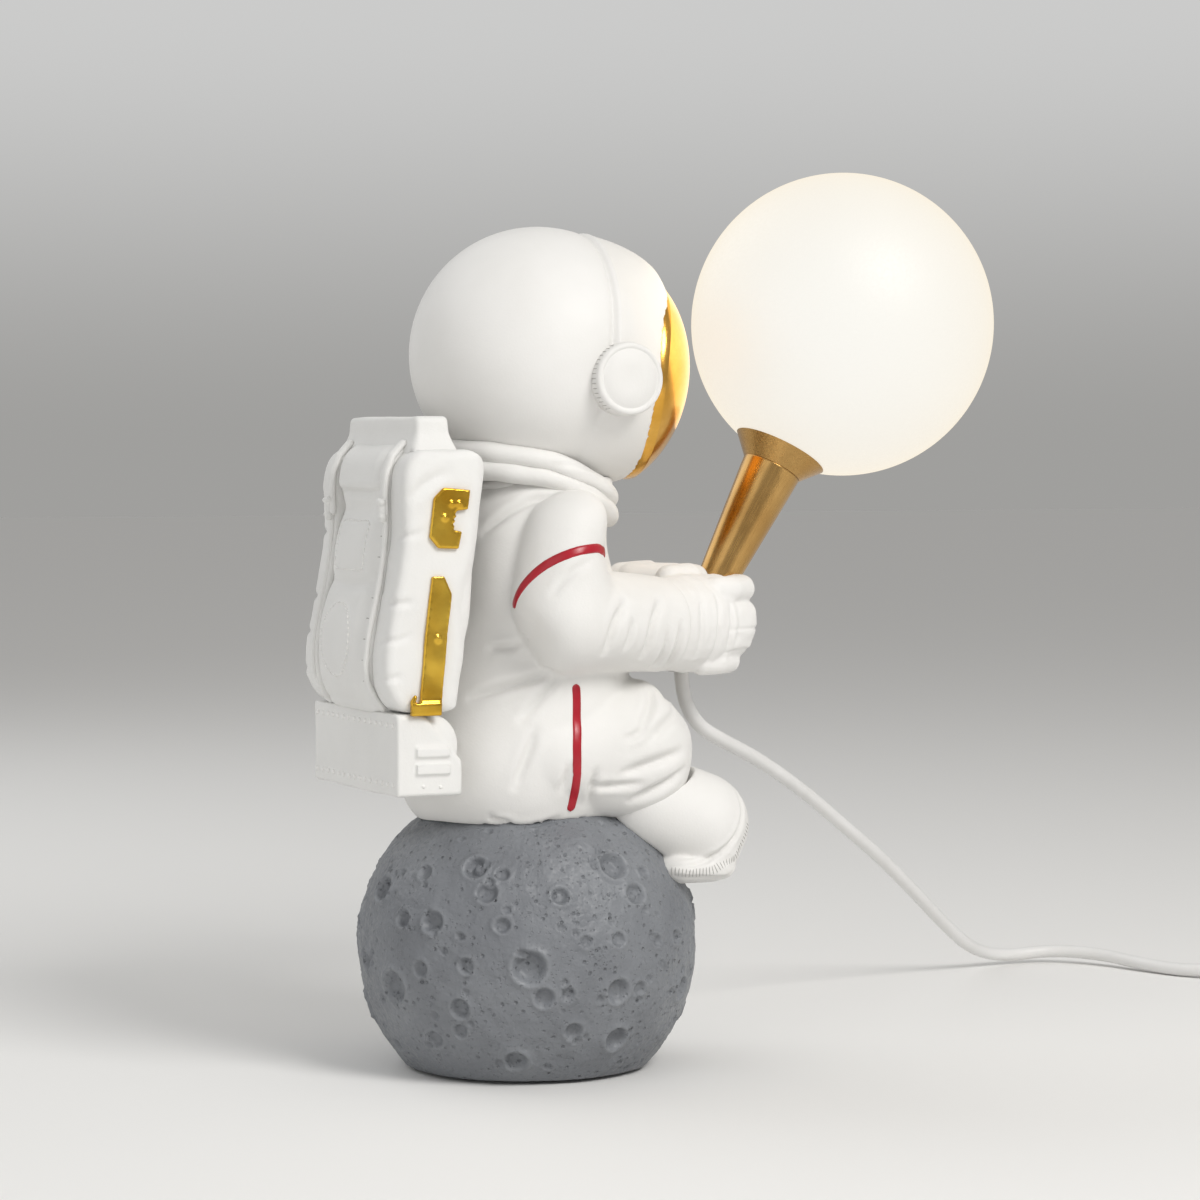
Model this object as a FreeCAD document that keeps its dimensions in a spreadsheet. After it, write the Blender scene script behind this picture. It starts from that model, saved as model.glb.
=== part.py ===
"""Figurine desk lamp: a seated astronaut on a crater ball, holding a round shade on a brass stem.

The figure faces -Y, +Z is up, and the origin is the centre of the foot pad on the table.
Lamp pieces are drawn about the stem's own axis, with zero at the stem's top, and then leaned forward.
Every size is a cell of the sheet and is in millimetres or degrees.
"""
import FreeCAD, Part
import math
import os
import Sketcher

Vector = FreeCAD.Vector
Rotation = FreeCAD.Rotation
Placement = FreeCAD.Placement
ALONG_X = Vector(1, 0, 0)
ALONG_Y = Vector(0, 1, 0)
ALONG_Z = Vector(0, 0, 1)

doc = FreeCAD.newDocument("figurine_lamp")
sheet = doc.addObject("Spreadsheet::Sheet", "Sizes")

SIZES = (
    # Overruns and clearances
    ("overrun", 1.0), ("running_gap", 0.3), ("snug_gap", 0.05), ("reach_out", 200.0),
    # Foot pad and crater ball
    ("pad_radius", 32.0), ("pad_thick", 1.2), ("ball_radius", 54.0), ("ball_middle", 40.0),
    ("ball_top_flat", 2.6), ("ball_low_swell", 2.0),
    ("ball_top_reach", "=ball_radius - ball_top_flat"),
    ("ball_low_reach", "=ball_radius + ball_low_swell"),
    ("ball_foot_round", 3.0),
    # Suit body
    ("torso_base", 78.0), ("torso_tall", 110.0), ("torso_wide", 77.0), ("torso_deep", 76.0),
    ("neck_up", "=torso_base + torso_tall"),
    # Legs
    ("hip_out", 19.5), ("hip_back", 1.0), ("hip_up", 102.5), ("hip_radius", 21.0),
    ("knee_out", 20.5), ("knee_fore", 27.0), ("knee_radius", 21.5),
    # Boots
    ("ankle_out", 22.0), ("ankle_fore", 33.0), ("ankle_up", 84.0), ("ankle_radius", 16.0),
    ("toe_out", 23.0), ("toe_fore", 49.5), ("toe_up", 77.5), ("toe_radius", 16.3),
    ("sole_fore", 46.8), ("sole_up", 57.6), ("sole_thick", 5.2), ("sole_half_wide", 14.6),
    ("sole_half_long", 18.8), ("sole_tilt", 7.0), ("sole_round", 1.4),
    # Sleeves
    ("shoulder_out", 33.0), ("shoulder_fore", 3.0), ("shoulder_drop", 20.0), ("shoulder_radius", 16.0),
    ("shoulder_up", "=neck_up - shoulder_drop"),
    ("elbow_out", 37.0), ("elbow_back", 4.0), ("elbow_up", 144.5), ("elbow_radius", 17.0),
    ("cuff_out", 25.5), ("cuff_fore", 35.0), ("cuff_up", 141.5), ("cuff_radius", 15.2),
    # Gloves
    ("palm_out", 14.5), ("palm_fore", 56.5), ("palm_up", 141.0), ("palm_radius", 14.5),
    ("palm_half_long", 17.0), ("finger_radius", 4.8), ("finger_root_out", 15.0),
    ("finger_root_fore", 66.0), ("finger_tip_out", 1.0), ("finger_row_low", 129.6),
    ("finger_row_tall", 21.4), ("finger_tip_fore", 73.8), ("thumb_radius", 4.6), ("thumb_up", 155.0),
    ("thumb_root_out", 14.0), ("thumb_root_fore", 43.5), ("thumb_tip_out", 7.0), ("thumb_tip_fore", 56.0),
    # Collar rolls
    ("collar_tilt", 18.0), ("collar_upper_back", -4.0), ("collar_upper_rise", 4.3),
    ("collar_upper_up", "=neck_up + collar_upper_rise"),
    ("collar_lower_sink", 3.0), ("collar_lower_up", "=neck_up - collar_lower_sink"),
    ("collar_upper_radius", 27.3), ("collar_upper_thick", 4.3), ("collar_lower_back", -3.5),
    ("collar_lower_radius", 26.0), ("collar_lower_thick", 4.6),
    # Helmet, visor and ear caps
    ("helmet_radius", 40.8), ("helmet_fore", 3.7), ("head_rise", 38.5), ("helmet_tilt", 7.5),
    ("helmet_up", "=neck_up + head_rise"),
    ("hood_start", 7.7), ("hood_reach", 40.1), ("hood_half_wide", 40.4), ("hood_half_tall", 40.5),
    ("window_half_wide", 30.5), ("window_half_tall", 32.3), ("window_drop", 2.8), ("window_floor", 16.0),
    ("visor_radius", 32.9), ("visor_half_tall", 38.0), ("visor_centre_fore", 20.5),
    ("ear_fore", 15.8), ("ear_drop", 8.0), ("ear_up", "=helmet_up - ear_drop"), ("ear_radius", 11.3), ("ear_face_out", 44.2),
    ("ear_root_out", 35.0), ("ear_round", 0.9), ("ear_ring_radius", 9.3), ("ear_ring_wide", 0.7),
    ("ear_ring_deep", 0.5),
    # Backpack
    ("pack_front", 28.0), ("pack_deep", 38.5), ("pack_tall", 82.3), ("pack_drop", 72.3),
    ("pack_base", "=neck_up - pack_drop"), ("pack_top", "=pack_base + pack_tall"),
    ("spine_half_wide", 21.5), ("welt_wide", 2.2), ("welt_proud", 1.0), ("pouch_half_wide", 36.0),
    ("pouch_round", 2.8), ("clip_drop", 21.0), ("clip_up", "=pack_top - clip_drop"),
    ("clip_tall", 6.5), ("clip_wide", 3.6), ("clip_deep", 4.0),
    ("cap_half_wide", 24.6), ("cap_front", 35.5), ("cap_back", 50.0), ("cap_rise", 8.8),
    ("cap_top", "=pack_top + cap_rise"), ("cap_taper", 5.0), ("cap_round", 1.6),
    ("box_half_wide", 32.0), ("box_front", 35.5), ("box_back", 60.0), ("box_tall", 24.7),
    ("box_base", "=pack_base - box_tall"),
    ("box_corner", 12.0), ("box_round", 1.2), ("rib_long", 10.5), ("rib_tall", 2.8), ("rib_proud", 1.0),
    ("rib_back", 50.5), ("rib_first_rise", 13.6), ("rib_step", 5.9),
    ("rib_first_up", "=box_base + rib_first_rise"),
    # Gilt tools on the right pouch
    ("tool_proud", 1.6), ("tool_sink", 3.0), ("spanner_back", 48.4), ("spanner_wide", 13.6),
    ("spanner_rise", 50.7), ("spanner_tall", 18.7), ("spanner_base", "=pack_base + spanner_rise"),
    ("lever_back", 51.9), ("lever_wide", 10.8),
    ("lever_rise", 3.9), ("lever_tall", 38.5), ("lever_base", "=pack_base + lever_rise"),
    ("lever_foot_tall", 4.0), ("lever_foot_over", 2.8),
    ("rivet_radius", 0.9), ("rivet_proud", 0.6),
    # Brass stem, cup and what they hold, measured along the stem's axis from its top
    ("stem_top_fore", 88.0), ("stem_top_up", 190.5), ("stem_tilt", 29.0), ("stem_top_radius", 10.0),
    ("stem_grip_radius", 6.6), ("stem_taper_end", 40.0), ("stem_length", 62.0), ("stem_wall", 1.2),
    ("stem_cap_thick", 1.6), ("stem_gap", 0.1),
    ("cup_rim_radius", 15.7), ("cup_tall", 6.5), ("cup_wall", 1.0), ("cup_rim_dip", 0.45),
    ("nipple_radius", 5.0), ("nipple_bore", 3.4), ("nipple_below", 8.0), ("nipple_above", 4.0),
    ("nut_flats", 14.0), ("nut_thick", 3.0),
    ("holder_radius", 9.0), ("holder_tall", 17.0), ("holder_pocket", 8.0),
    ("pin_pitch", 9.0), ("pin_radius", 0.6), ("pin_long", 6.5), ("slot_half", 1.4), ("slot_deep", 8.5),
    ("leaf_thick", 0.4), ("leaf_wide", 2.0), ("leaf_tall", 7.0),
    ("bulb_radius", 8.0), ("bulb_wall", 0.8), ("bulb_base_tall", 8.0), ("bulb_tall", 43.0),
    ("board_wide", 7.0), ("board_thick", 1.2), ("board_tall", 24.0),
    # Shade
    ("shade_radius", 50.0), ("shade_wall", 1.6), ("shade_centre", 54.3), ("mouth_radius", 11.3),
    ("ring_bore", 9.45), ("ring_low", 3.4), ("ring_high", 8.6),
    # Cord and where it leaves the gloves
    ("cord_wide", 4.8), ("lead_wide", 3.6), ("outlet_fore", 55.0), ("outlet_up", 124.6),
    ("bush_radius", 4.6), ("bush_tall", 8.0), ("outlet_room_top", 138.5),
    ("coil_outer", 34.0), ("coil_inner", 20.5), ("coil_pitch", 5.4), ("coil_layer", 5.3),
    ("coil_dip", 1.5), ("coil_centre_x", -50.0), ("coil_centre_y", -371.0), ("cord_floor", 2.45),
    # In-line switch
    ("switch_x", 27.4), ("switch_y", -354.2), ("switch_yaw", 65.0), ("switch_long", 60.0),
    ("switch_wide", 22.0), ("switch_low_tall", 8.0), ("switch_high_tall", 8.5), ("switch_wall", 1.8),
    ("switch_round", 3.0), ("switch_nose_wide", 9.0), ("switch_nose_long", 9.0), ("rocker_long", 19.0),
    ("rocker_wide", 10.0), ("rocker_tall", 4.6), ("rocker_proud", 1.9), ("rocker_room", 0.5),
    ("rocker_lean", 0.8), ("rocker_skirt", 4.3), ("screw_bite", 4.0),
    ("rocker_pin_radius", 1.0), ("rocker_pin_up", 13.5), ("screw_radius", 1.5), ("screw_head_radius", 2.6),
    ("screw_head_tall", 1.4), ("screw_out", 20.0),
    ("terminal_long", 8.0), ("terminal_wide", 5.0), ("terminal_tall", 5.5), ("terminal_out", 5.0),
    # Plug
    ("plug_long", 34.0), ("plug_wide", 26.0), ("plug_thick", 13.7), ("plug_round", 3.0),
    ("plug_back_share", 0.55), ("prong_radius", 2.0), ("prong_long", 19.0), ("prong_pitch", 18.6),
    ("prong_root_radius", 1.4), ("prong_root_long", 6.0), ("prong_round", 0.9),
    ("relief_long", 22.0), ("relief_root", 4.6), ("relief_tip", 3.2),
    ("relief_groove", 0.7),
)

# Rows of the suit body from seat to neck: height, width, depth and set-back
TORSO_SHARES = (
    (0.00, 0.78, 0.79, 0.040), (0.09, 0.92, 0.95, 0.055), (0.22, 1.00, 0.98, 0.040),
    (0.40, 0.965, 0.87, 0.015), (0.58, 0.925, 0.80, 0.005), (0.76, 0.91, 0.775, 0.000),
    (0.90, 0.82, 0.72, -0.015), (1.00, 0.66, 0.65, -0.040),
)
# Rows of the helmet's hood from the groove to the brow: reach, width, height and drop
HOOD_SHARES = (
    (0.000, 1.000, 1.000, 0.000), (0.200, 0.985, 0.990, 0.000), (0.400, 0.940, 0.965, 0.002),
    (0.570, 0.875, 0.940, 0.005), (0.720, 0.800, 0.915, 0.012), (0.880, 0.690, 0.860, 0.035),
    (1.000, 0.560, 0.740, 0.075),
)
# Side outlines of the backpack: share of its depth to the rear, share of its height
SPINE_SHARES = (
    (0.46, 1.000), (0.62, 1.000), (0.73, 0.965), (0.795, 0.900), (0.790, 0.830), (0.745, 0.785),
    (0.775, 0.710), (0.845, 0.560), (0.850, 0.500), (0.910, 0.420), (0.985, 0.270), (0.985, 0.130),
    (0.930, 0.040), (0.800, 0.000), (0.240, 0.000),
)
WELT_SHARES = (
    (0.30, 1.010), (0.62, 1.010), (0.740, 0.975), (0.790, 0.890), (0.790, 0.720), (0.830, 0.560),
    (0.900, 0.400), (0.960, 0.250), (0.955, 0.120), (0.900, 0.035), (0.790, 0.000), (0.300, 0.000),
)
POUCH_SHARES = (
    (0.10, 0.985), (0.58, 0.985), (0.700, 0.940), (0.745, 0.870), (0.755, 0.700), (0.785, 0.550),
    (0.830, 0.380), (0.865, 0.220), (0.860, 0.110), (0.800, 0.030), (0.700, 0.010), (0.340, 0.010),
)
# Outlines of the gilt tools: share of the width towards the front, share of the height
SPANNER_SHARES = (
    (0.33, 1.00), (0.98, 0.96), (0.92, 0.64), (0.66, 0.62), (0.60, 0.57), (0.65, 0.53), (0.57, 0.49),
    (0.62, 0.45), (0.55, 0.41), (0.60, 0.36), (0.54, 0.31), (0.77, 0.285), (0.69, 0.00), (0.21, 0.01),
    (0.00, 0.19), (0.10, 0.83),
)
LEVER_SHARES = ((0.39, 1.00), (0.76, 1.00), (1.00, 0.84), (0.66, 0.00), (0.00, 0.00))
SPANNER_RIVET_SHARES = ((0.35, 0.52), (0.52, 0.74), (0.70, 0.74))
LEVER_RIVET_SHARES = ((0.55, 0.46),)
# Finger rows: share of the row's height, share of the tip's reach
FINGER_SHARES = ((0.00, 0.930), (0.30, 0.980), (0.655, 1.000), (1.00, 0.992))
# The larger craters: turn about +Z in degrees, degrees above the ball's middle, share of its radius
CRATER_SHARES = (
    (157, -1, 0.102), (136, 33, 0.076), (142, 24, 0.067), (168, 23, 0.057), (192, 33, 0.093),
    (198, 22, 0.070), (123, 13, 0.072), (110, 13, 0.057), (106, -10, 0.098), (133, -15, 0.063),
    (162, -11, 0.063), (188, -10, 0.076), (191, -27, 0.076), (152, -34, 0.070), (93, 22, 0.081),
    (223, -13, 0.070), (250, 12, 0.085), (268, -8, 0.070), (290, 20, 0.095), (315, -5, 0.080),
    (340, 14, 0.098), (5, -12, 0.075), (28, 18, 0.090), (55, -2, 0.100), (75, -20, 0.070),
    (300, -28, 0.075), (20, -32, 0.070),
)
CRATER_DEPTH_SHARE = 0.28
RELIEF_RIBS = 6

# The free cord from the gloves to the switch, chosen by hand along the photographed line
LAMP_ROUTE = (
    (0.0, -55.0, 124.6), (0.2, -55.2, 113.2), (4.2, -60.8, 103.6), (13.0, -73.8, 97.0),
    (28.5, -97.5, 90.0), (45.5, -124.5, 77.0), (60.0, -147.5, 65.8), (74.5, -170.5, 52.0),
    (89.0, -193.0, 36.0), (103.5, -216.0, 19.5), (114.5, -234.0, 8.0), (121.5, -252.0, 3.0),
    (118.5, -272.0, 4.8), (103.0, -285.0, 4.4), (83.0, -290.5, 2.9), (63.5, -297.0, 2.45),
    (50.5, -308.5, 4.4), (44.1, -318.4, 8.0), (40.1, -327.0, 8.0),
)
# From the switch to the coil, and from the coil to the plug
SWITCH_ROUTE = (
    (14.7, -381.4, 8.0), (10.0, -391.6, 7.2), (0.6, -400.4, 4.6), (-13.0, -404.6, 2.8), (-28.5, -405.4, 2.45),
)
PLUG_ROUTE_END = (-83.4, -332.0, 6.85)


def mm(alias):
    """The number in one cell of the sheet."""
    return float(sheet.get(alias))


def worth(expression):
    """What an expression over the sheet comes to."""
    return float(sheet.evalExpression(expression))


def fill_sheet():
    """Writes each size into its row and names the cell."""
    for row, (alias, value) in enumerate(SIZES, start=1):
        sheet.set(f"A{row}", alias)
        sheet.set(f"B{row}", str(value))
        sheet.setAlias(f"B{row}", alias)
    doc.recompute()


fill_sheet()
NODES = []


def keep(piece, label):
    """Names a finished sub-part, which is written to its own file."""
    piece.Label = label
    NODES.append(piece)
    return piece


def primitive(kind, name, **expressions):
    """One of Part's primitives, with each property bound to the sheet."""
    solid = doc.addObject(f"Part::{kind}", name)
    for prop, expression in expressions.items():
        solid.setExpression(prop, expression)
    return solid


def place(piece, x="0", y="0", z="0", axis=ALONG_X, angle="0"):
    """Binds a piece's place and turn to the sheet."""
    piece.Placement = Placement(Vector(worth(x), worth(y), worth(z)), Rotation(axis, worth(angle)))
    for prop, expression in (("Base.x", x), ("Base.y", y), ("Base.z", z), ("Rotation.Angle", angle)):
        piece.setExpression(f"Placement.{prop}", expression)
    return piece


def on_stem(piece):
    """Leans a piece that is drawn about +Z to the stem's axis, with its zero at the stem's top."""
    return place(piece, y="-Sizes.stem_top_fore", z="Sizes.stem_top_up", angle="Sizes.stem_tilt")


def on_head(piece):
    """Leans a piece that is drawn about the helmet's centre as the helmet leans."""
    return place(piece, y="-Sizes.helmet_fore", z="Sizes.helmet_up", angle="Sizes.helmet_tilt")


def cut(name, base, *tools):
    """Base less each of the tools."""
    result = base
    for index, tool in enumerate(tools):
        step = doc.addObject("Part::Cut", f"{name}_{index}")
        step.Base = result
        step.Tool = tool
        result = step
    doc.recompute()
    return result


def joined(name, *pieces):
    """Several touching or crossing solids made one."""
    result = doc.addObject("Part::MultiFuse", name)
    result.Shapes = list(pieces)
    doc.recompute()
    return result


def common(name, base, tool):
    """What two solids share."""
    result = doc.addObject("Part::Common", name)
    result.Base = base
    result.Tool = tool
    doc.recompute()
    return result


def grouped(name, *pieces):
    """Separate solids that are one kind of piece, kept in one compound."""
    result = doc.addObject("Part::Compound", name)
    result.Links = list(pieces)
    doc.recompute()
    return result


def left_of(piece, label):
    """The mirror image of a right-hand piece across the figure's middle."""
    twin = doc.addObject("Part::Mirroring", f"{label}_mirror")
    twin.Source = piece
    twin.Normal = ALONG_X
    doc.recompute()
    return keep(twin, label)


def shaped(name, shape, where=None):
    """A form that no primitive or sketch gives, set from the sheet's sizes."""
    piece = doc.addObject("Part::Feature", name)
    piece.Shape = shape
    if where is not None:
        piece.Placement = where
    return piece


def outline(body, role, corners):
    """A closed sketch of straight sides on one of the body's own planes; corners are expressions."""
    sketch = body.newObject("Sketcher::SketchObject", f"{body.Name}_outline")
    plane = next(feature for feature in body.Origin.OriginFeatures if feature.Role == role)
    sketch.AttachmentSupport = [(plane, "")]
    sketch.MapMode = "FlatFace"
    points = [Vector(worth(across), worth(up), 0) for across, up in corners]
    count = len(points)
    for index, point in enumerate(points):
        sketch.addGeometry(Part.LineSegment(point, points[(index + 1) % count]), False)
    for index in range(count):
        sketch.addConstraint(Sketcher.Constraint("Coincident", index, 2, (index + 1) % count, 1))
    for index, pair in enumerate(corners):
        for kind, expression in zip(("DistanceX", "DistanceY"), pair):
            rule = Sketcher.Constraint(kind, -1, 1, index, 1, worth(expression))
            sketch.setExpression(f"Constraints[{sketch.addConstraint(rule)}]", expression)
    return sketch


def turned(label, corners):
    """A body turned about its +Z axis from a radius and height outline."""
    body = doc.addObject("PartDesign::Body", label)
    sketch = outline(body, "XZ_Plane", corners)
    spin = body.newObject("PartDesign::Revolution", f"{label}_turned")
    spin.Profile = sketch
    spin.ReferenceAxis = (sketch, ["V_Axis"])
    spin.Angle = 360
    doc.recompute()
    return body


def padded(label, role, corners, length, both_ways=False, taper=None):
    """A body padded from an outline on one of its planes."""
    body = doc.addObject("PartDesign::Body", label)
    pad = body.newObject("PartDesign::Pad", f"{label}_pad")
    pad.Profile = outline(body, role, corners)
    pad.setExpression("Length", length)
    if both_ways:
        pad.SideType = "Symmetric"
    if taper is not None:
        pad.setExpression("TaperAngle", taper)
    doc.recompute()
    return body


def rounded(body, radius, wanted):
    """Rounds the edges of the body's last solid that the test picks."""
    base = body.Tip
    names = [f"Edge{index}" for index, edge in enumerate(base.Shape.Edges, start=1) if wanted(edge)]
    fillet = body.newObject("PartDesign::Fillet", f"{body.Name}_round_{len(body.Group)}")
    fillet.Base = (base, names)
    fillet.setExpression("Radius", radius)
    doc.recompute()
    return body


def part_rounded(name, base, radius, wanted):
    """Rounds the edges of a Part solid that the test picks."""
    fillet = doc.addObject("Part::Fillet", name)
    fillet.Base = base
    fillet.Edges = [
        (index, radius, radius) for index, edge in enumerate(base.Shape.Edges, start=1) if wanted(edge)
    ]
    doc.recompute()
    return fillet


def level_ellipse(centre, half_x, half_y):
    """A closed ellipse in a level plane, as a wire."""
    long_half, short_half = max(half_x, half_y), min(half_x, half_y)
    towards = ALONG_X if half_x >= half_y else ALONG_Y
    across = ALONG_Y if half_x >= half_y else ALONG_X
    curve = Part.Ellipse(centre + towards * long_half, centre + across * short_half, centre)
    return Part.Wire([curve.toShape()])


def spun(wire):
    """A solid turned about +Z from a closed outline in the XZ plane, facing outwards."""
    solid = Part.Face(wire).revolve(Vector(0, 0, 0), ALONG_Z, 360)
    if solid.Volume < 0:
        solid.reverse()
    return solid


def egg(around, below, above, floor=None):
    """A solid turned about +Z from two elliptical arcs that meet at its widest ring, cut flat at a floor."""
    middle = Vector(0, 0, 0)
    arcs = []
    for reach, least in ((-below, floor), (above, None)):
        pole, side = Vector(0, 0, reach), Vector(around, 0, 0)
        cut_turn = 0.0 if least is None else math.acos(least / reach)
        if abs(reach) > around:
            arcs.append(Part.ArcOfEllipse(Part.Ellipse(pole, side, middle), cut_turn, math.pi / 2))
        else:
            arcs.append(Part.ArcOfEllipse(Part.Ellipse(side, pole, middle), 0, math.pi / 2 - cut_turn))
    edges = [arc.toShape() for arc in arcs]
    foot_z = -below if floor is None else floor
    corners = [Vector(0, 0, above), Vector(0, 0, foot_z)]
    if floor is not None:
        corners.append(Vector(around * math.sqrt(1 - (floor / below) ** 2), 0, floor))
    edges += [Part.LineSegment(start, end).toShape() for start, end in zip(corners, corners[1:])]
    return spun(Part.Wire(Part.__sortEdges__(edges)))


def capsule(first, first_radius, second, second_radius):
    """Two balls of their own radii and the cone tangent to both, turned as one solid."""
    way = second - first
    lean = math.asin((first_radius - second_radius) / way.Length)
    profile = []
    tangents = []
    for up, radius, end in ((0.0, first_radius, -1), (way.Length, second_radius, 1)):
        pole = Vector(0, 0, up + end * radius)
        half = (lean + end * math.pi / 2) / 2
        middle = Vector(radius * math.cos(half), 0, up + radius * math.sin(half))
        tangents.append(Vector(radius * math.cos(lean), 0, up + radius * math.sin(lean)))
        profile.append((pole, middle, tangents[-1]))
    (low_pole, low_middle, low), (high_pole, high_middle, high) = profile
    edges = [
        Part.Arc(low_pole, low_middle, low).toShape(), Part.LineSegment(low, high).toShape(),
        Part.Arc(high, high_middle, high_pole).toShape(), Part.LineSegment(high_pole, low_pole).toShape(),
    ]
    solid = spun(Part.Wire(edges))
    solid.Placement = Placement(first, Rotation(ALONG_Z, way))
    return solid


def limb(stations):
    """Round stations of (centre, radius) joined by cones into one stubby limb."""
    pieces = [capsule(*first, *second) for first, second in zip(stations, stations[1:])]
    return pieces[0].fuse(pieces[1:]) if len(pieces) > 1 else pieces[0]


def right_point(out, fore, up):
    """A point on the figure's right-hand side from its named sizes."""
    return Vector(-mm(out), -mm(fore), mm(up))


def make_base():
    """The crater ball and the soft pad under it; returns the smooth ball that the figure sits on."""
    pad = primitive("Cylinder", "pad_disc", Radius="Sizes.pad_radius", Height="Sizes.pad_thick")
    keep(pad, "foot_pad")
    floor = mm("pad_thick") - mm("ball_middle")
    solid = egg(mm("ball_radius"), mm("ball_low_reach"), mm("ball_top_reach"), floor)
    foot = [edge for edge in solid.Edges if edge.BoundBox.ZMax < floor + mm("snug_gap")]
    solid = solid.makeFillet(mm("ball_foot_round"), foot)
    ball = shaped("smooth_ball", solid, Placement(ALONG_Z * mm("ball_middle"), Rotation()))
    craters = []
    for turn, rise, share in CRATER_SHARES:
        reach = mm("ball_top_reach") if rise > 0 else mm("ball_low_reach")
        level = mm("ball_radius") * math.cos(math.radians(rise))
        surface = Vector(
            level * math.cos(math.radians(turn)), level * math.sin(math.radians(turn)),
            reach * math.sin(math.radians(rise)),
        )
        radius = share * mm("ball_radius")
        depth = CRATER_DEPTH_SHARE * radius
        dish = (radius * radius + depth * depth) / (2 * depth)
        outward = Vector(surface).normalize()
        centre = surface + outward * (dish - depth) + ALONG_Z * mm("ball_middle")
        craters.append(Part.makeSphere(dish, centre))
    keep(shaped("crater_ball", ball.Shape.cut(craters)), "moon_base")
    return ball


def make_helmet():
    """Helmet shell, hood, visor and ear caps; returns the helmet's full outer form."""
    ball = on_head(primitive("Sphere", "helmet_ball", Radius="Sizes.helmet_radius"))
    front = primitive(
        "Box", "front_half", Length="2 * Sizes.reach_out", Width="Sizes.reach_out",
        Height="2 * Sizes.reach_out",
    )
    head_turn = Rotation(ALONG_X, mm("helmet_tilt"))
    corner = Vector(-mm("reach_out"), -mm("hood_start") - mm("reach_out"), -mm("reach_out"))
    head_centre = Vector(0, -mm("helmet_fore"), mm("helmet_up"))
    front.Placement = Placement(head_centre + head_turn.multVec(corner), head_turn)
    shell = cut("helmet_shell_cut", ball, front)

    rings = []
    for reach, wide, tall, drop in HOOD_SHARES:
        level = level_ellipse(
            Vector(0, drop * mm("hood_half_tall"), mm("hood_start") + reach * (mm("hood_reach") - mm("hood_start"))),
            wide * mm("hood_half_wide"), tall * mm("hood_half_tall"),
        )
        rings.append(level)
    # The rows are level ellipses, turned so that their heights run forward along -Y
    forward = Placement(head_centre, head_turn.multiply(Rotation(ALONG_X, 90)))
    hood_form = shaped("hood_form", Part.makeLoft(rings, True, False), forward)
    window_centre = Vector(0, -mm("window_drop"), mm("window_floor"))
    window_room = Part.Face(level_ellipse(window_centre, mm("window_half_wide"), mm("window_half_tall")))
    window = shaped("window_room", window_room.extrude(ALONG_Z * mm("reach_out")), forward)
    hood = cut("hood_cut", hood_form, window)

    dome_centre = head_centre + head_turn.multVec(Vector(0, -mm("visor_centre_fore"), -mm("window_drop")))
    dome_form = egg(mm("visor_radius"), mm("visor_half_tall"), mm("visor_half_tall"))
    dome = shaped("visor_dome", dome_form, Placement(dome_centre, head_turn))
    pane_room = Part.Face(level_ellipse(
        window_centre, mm("window_half_wide") - mm("snug_gap"), mm("window_half_tall") - mm("snug_gap"),
    ))
    pane = shaped("pane_room", pane_room.extrude(ALONG_Z * mm("reach_out")), forward)
    keep(shell, "helmet_shell")
    keep(hood, "helmet_hood")
    keep(common("visor_common", dome, pane), "visor")

    ear = primitive(
        "Cylinder", "ear_drum", Radius="Sizes.ear_radius", Height="Sizes.ear_face_out - Sizes.ear_root_out",
    )
    place(ear, x="-Sizes.ear_root_out", y="-Sizes.ear_fore", z="Sizes.ear_up", axis=ALONG_Y, angle="-90")
    doc.recompute()
    face_x = -mm("ear_face_out")
    ear = part_rounded(
        "ear_drum_round", ear, mm("ear_round"),
        lambda edge: len(edge.Vertexes) == 1 and abs(edge.CenterOfMass.x - face_x) < mm("snug_gap"),
    )
    ring_bottom = Vector(face_x + mm("ear_ring_deep"), -mm("ear_fore"), mm("ear_up"))
    out = Vector(-1, 0, 0)
    ring = Part.makeCylinder(mm("ear_ring_radius"), mm("overrun"), ring_bottom, out).cut(
        Part.makeCylinder(mm("ear_ring_radius") - mm("ear_ring_wide"), mm("overrun"), ring_bottom, out)
    )
    groove = shaped("ear_ring_groove", ring)
    right_ear = keep(cut("ear_cut", ear, groove, shell, hood_form), "right_ear_cap")
    left_of(right_ear, "left_ear_cap")
    return joined("helmet_form", ball, hood_form)


def make_torso(helmet):
    """The suit body, a loft of level ovals that sits on the ball and carries the helmet."""
    seat = primitive(
        "Ellipsoid", "ball_top", Radius1="Sizes.ball_top_reach", Radius2="Sizes.ball_radius",
        Radius3="Sizes.ball_radius", Angle1="0", Angle2="90",
    )
    place(seat, z="Sizes.ball_middle")
    ovals = []
    for up, wide, deep, back in TORSO_SHARES:
        centre = Vector(0, back * mm("torso_deep"), mm("torso_base") + up * mm("torso_tall"))
        ovals.append(level_ellipse(centre, wide * mm("torso_wide") / 2, deep * mm("torso_deep") / 2))
    form = shaped("torso_form", Part.makeLoft(ovals, True, False))
    keep(cut("torso_cut", form, seat, helmet), "torso")
    return form


def beside_middle(name, form):
    """Trims a right-hand form at the figure's middle plane."""
    room = primitive(
        "Box", f"{name}_far_side", Length="Sizes.reach_out", Width="4 * Sizes.reach_out",
        Height="2 * Sizes.reach_out",
    )
    place(room, x="-Sizes.snug_gap", y="-2 * Sizes.reach_out")
    return cut(f"{name}_trim", form, room)


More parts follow.
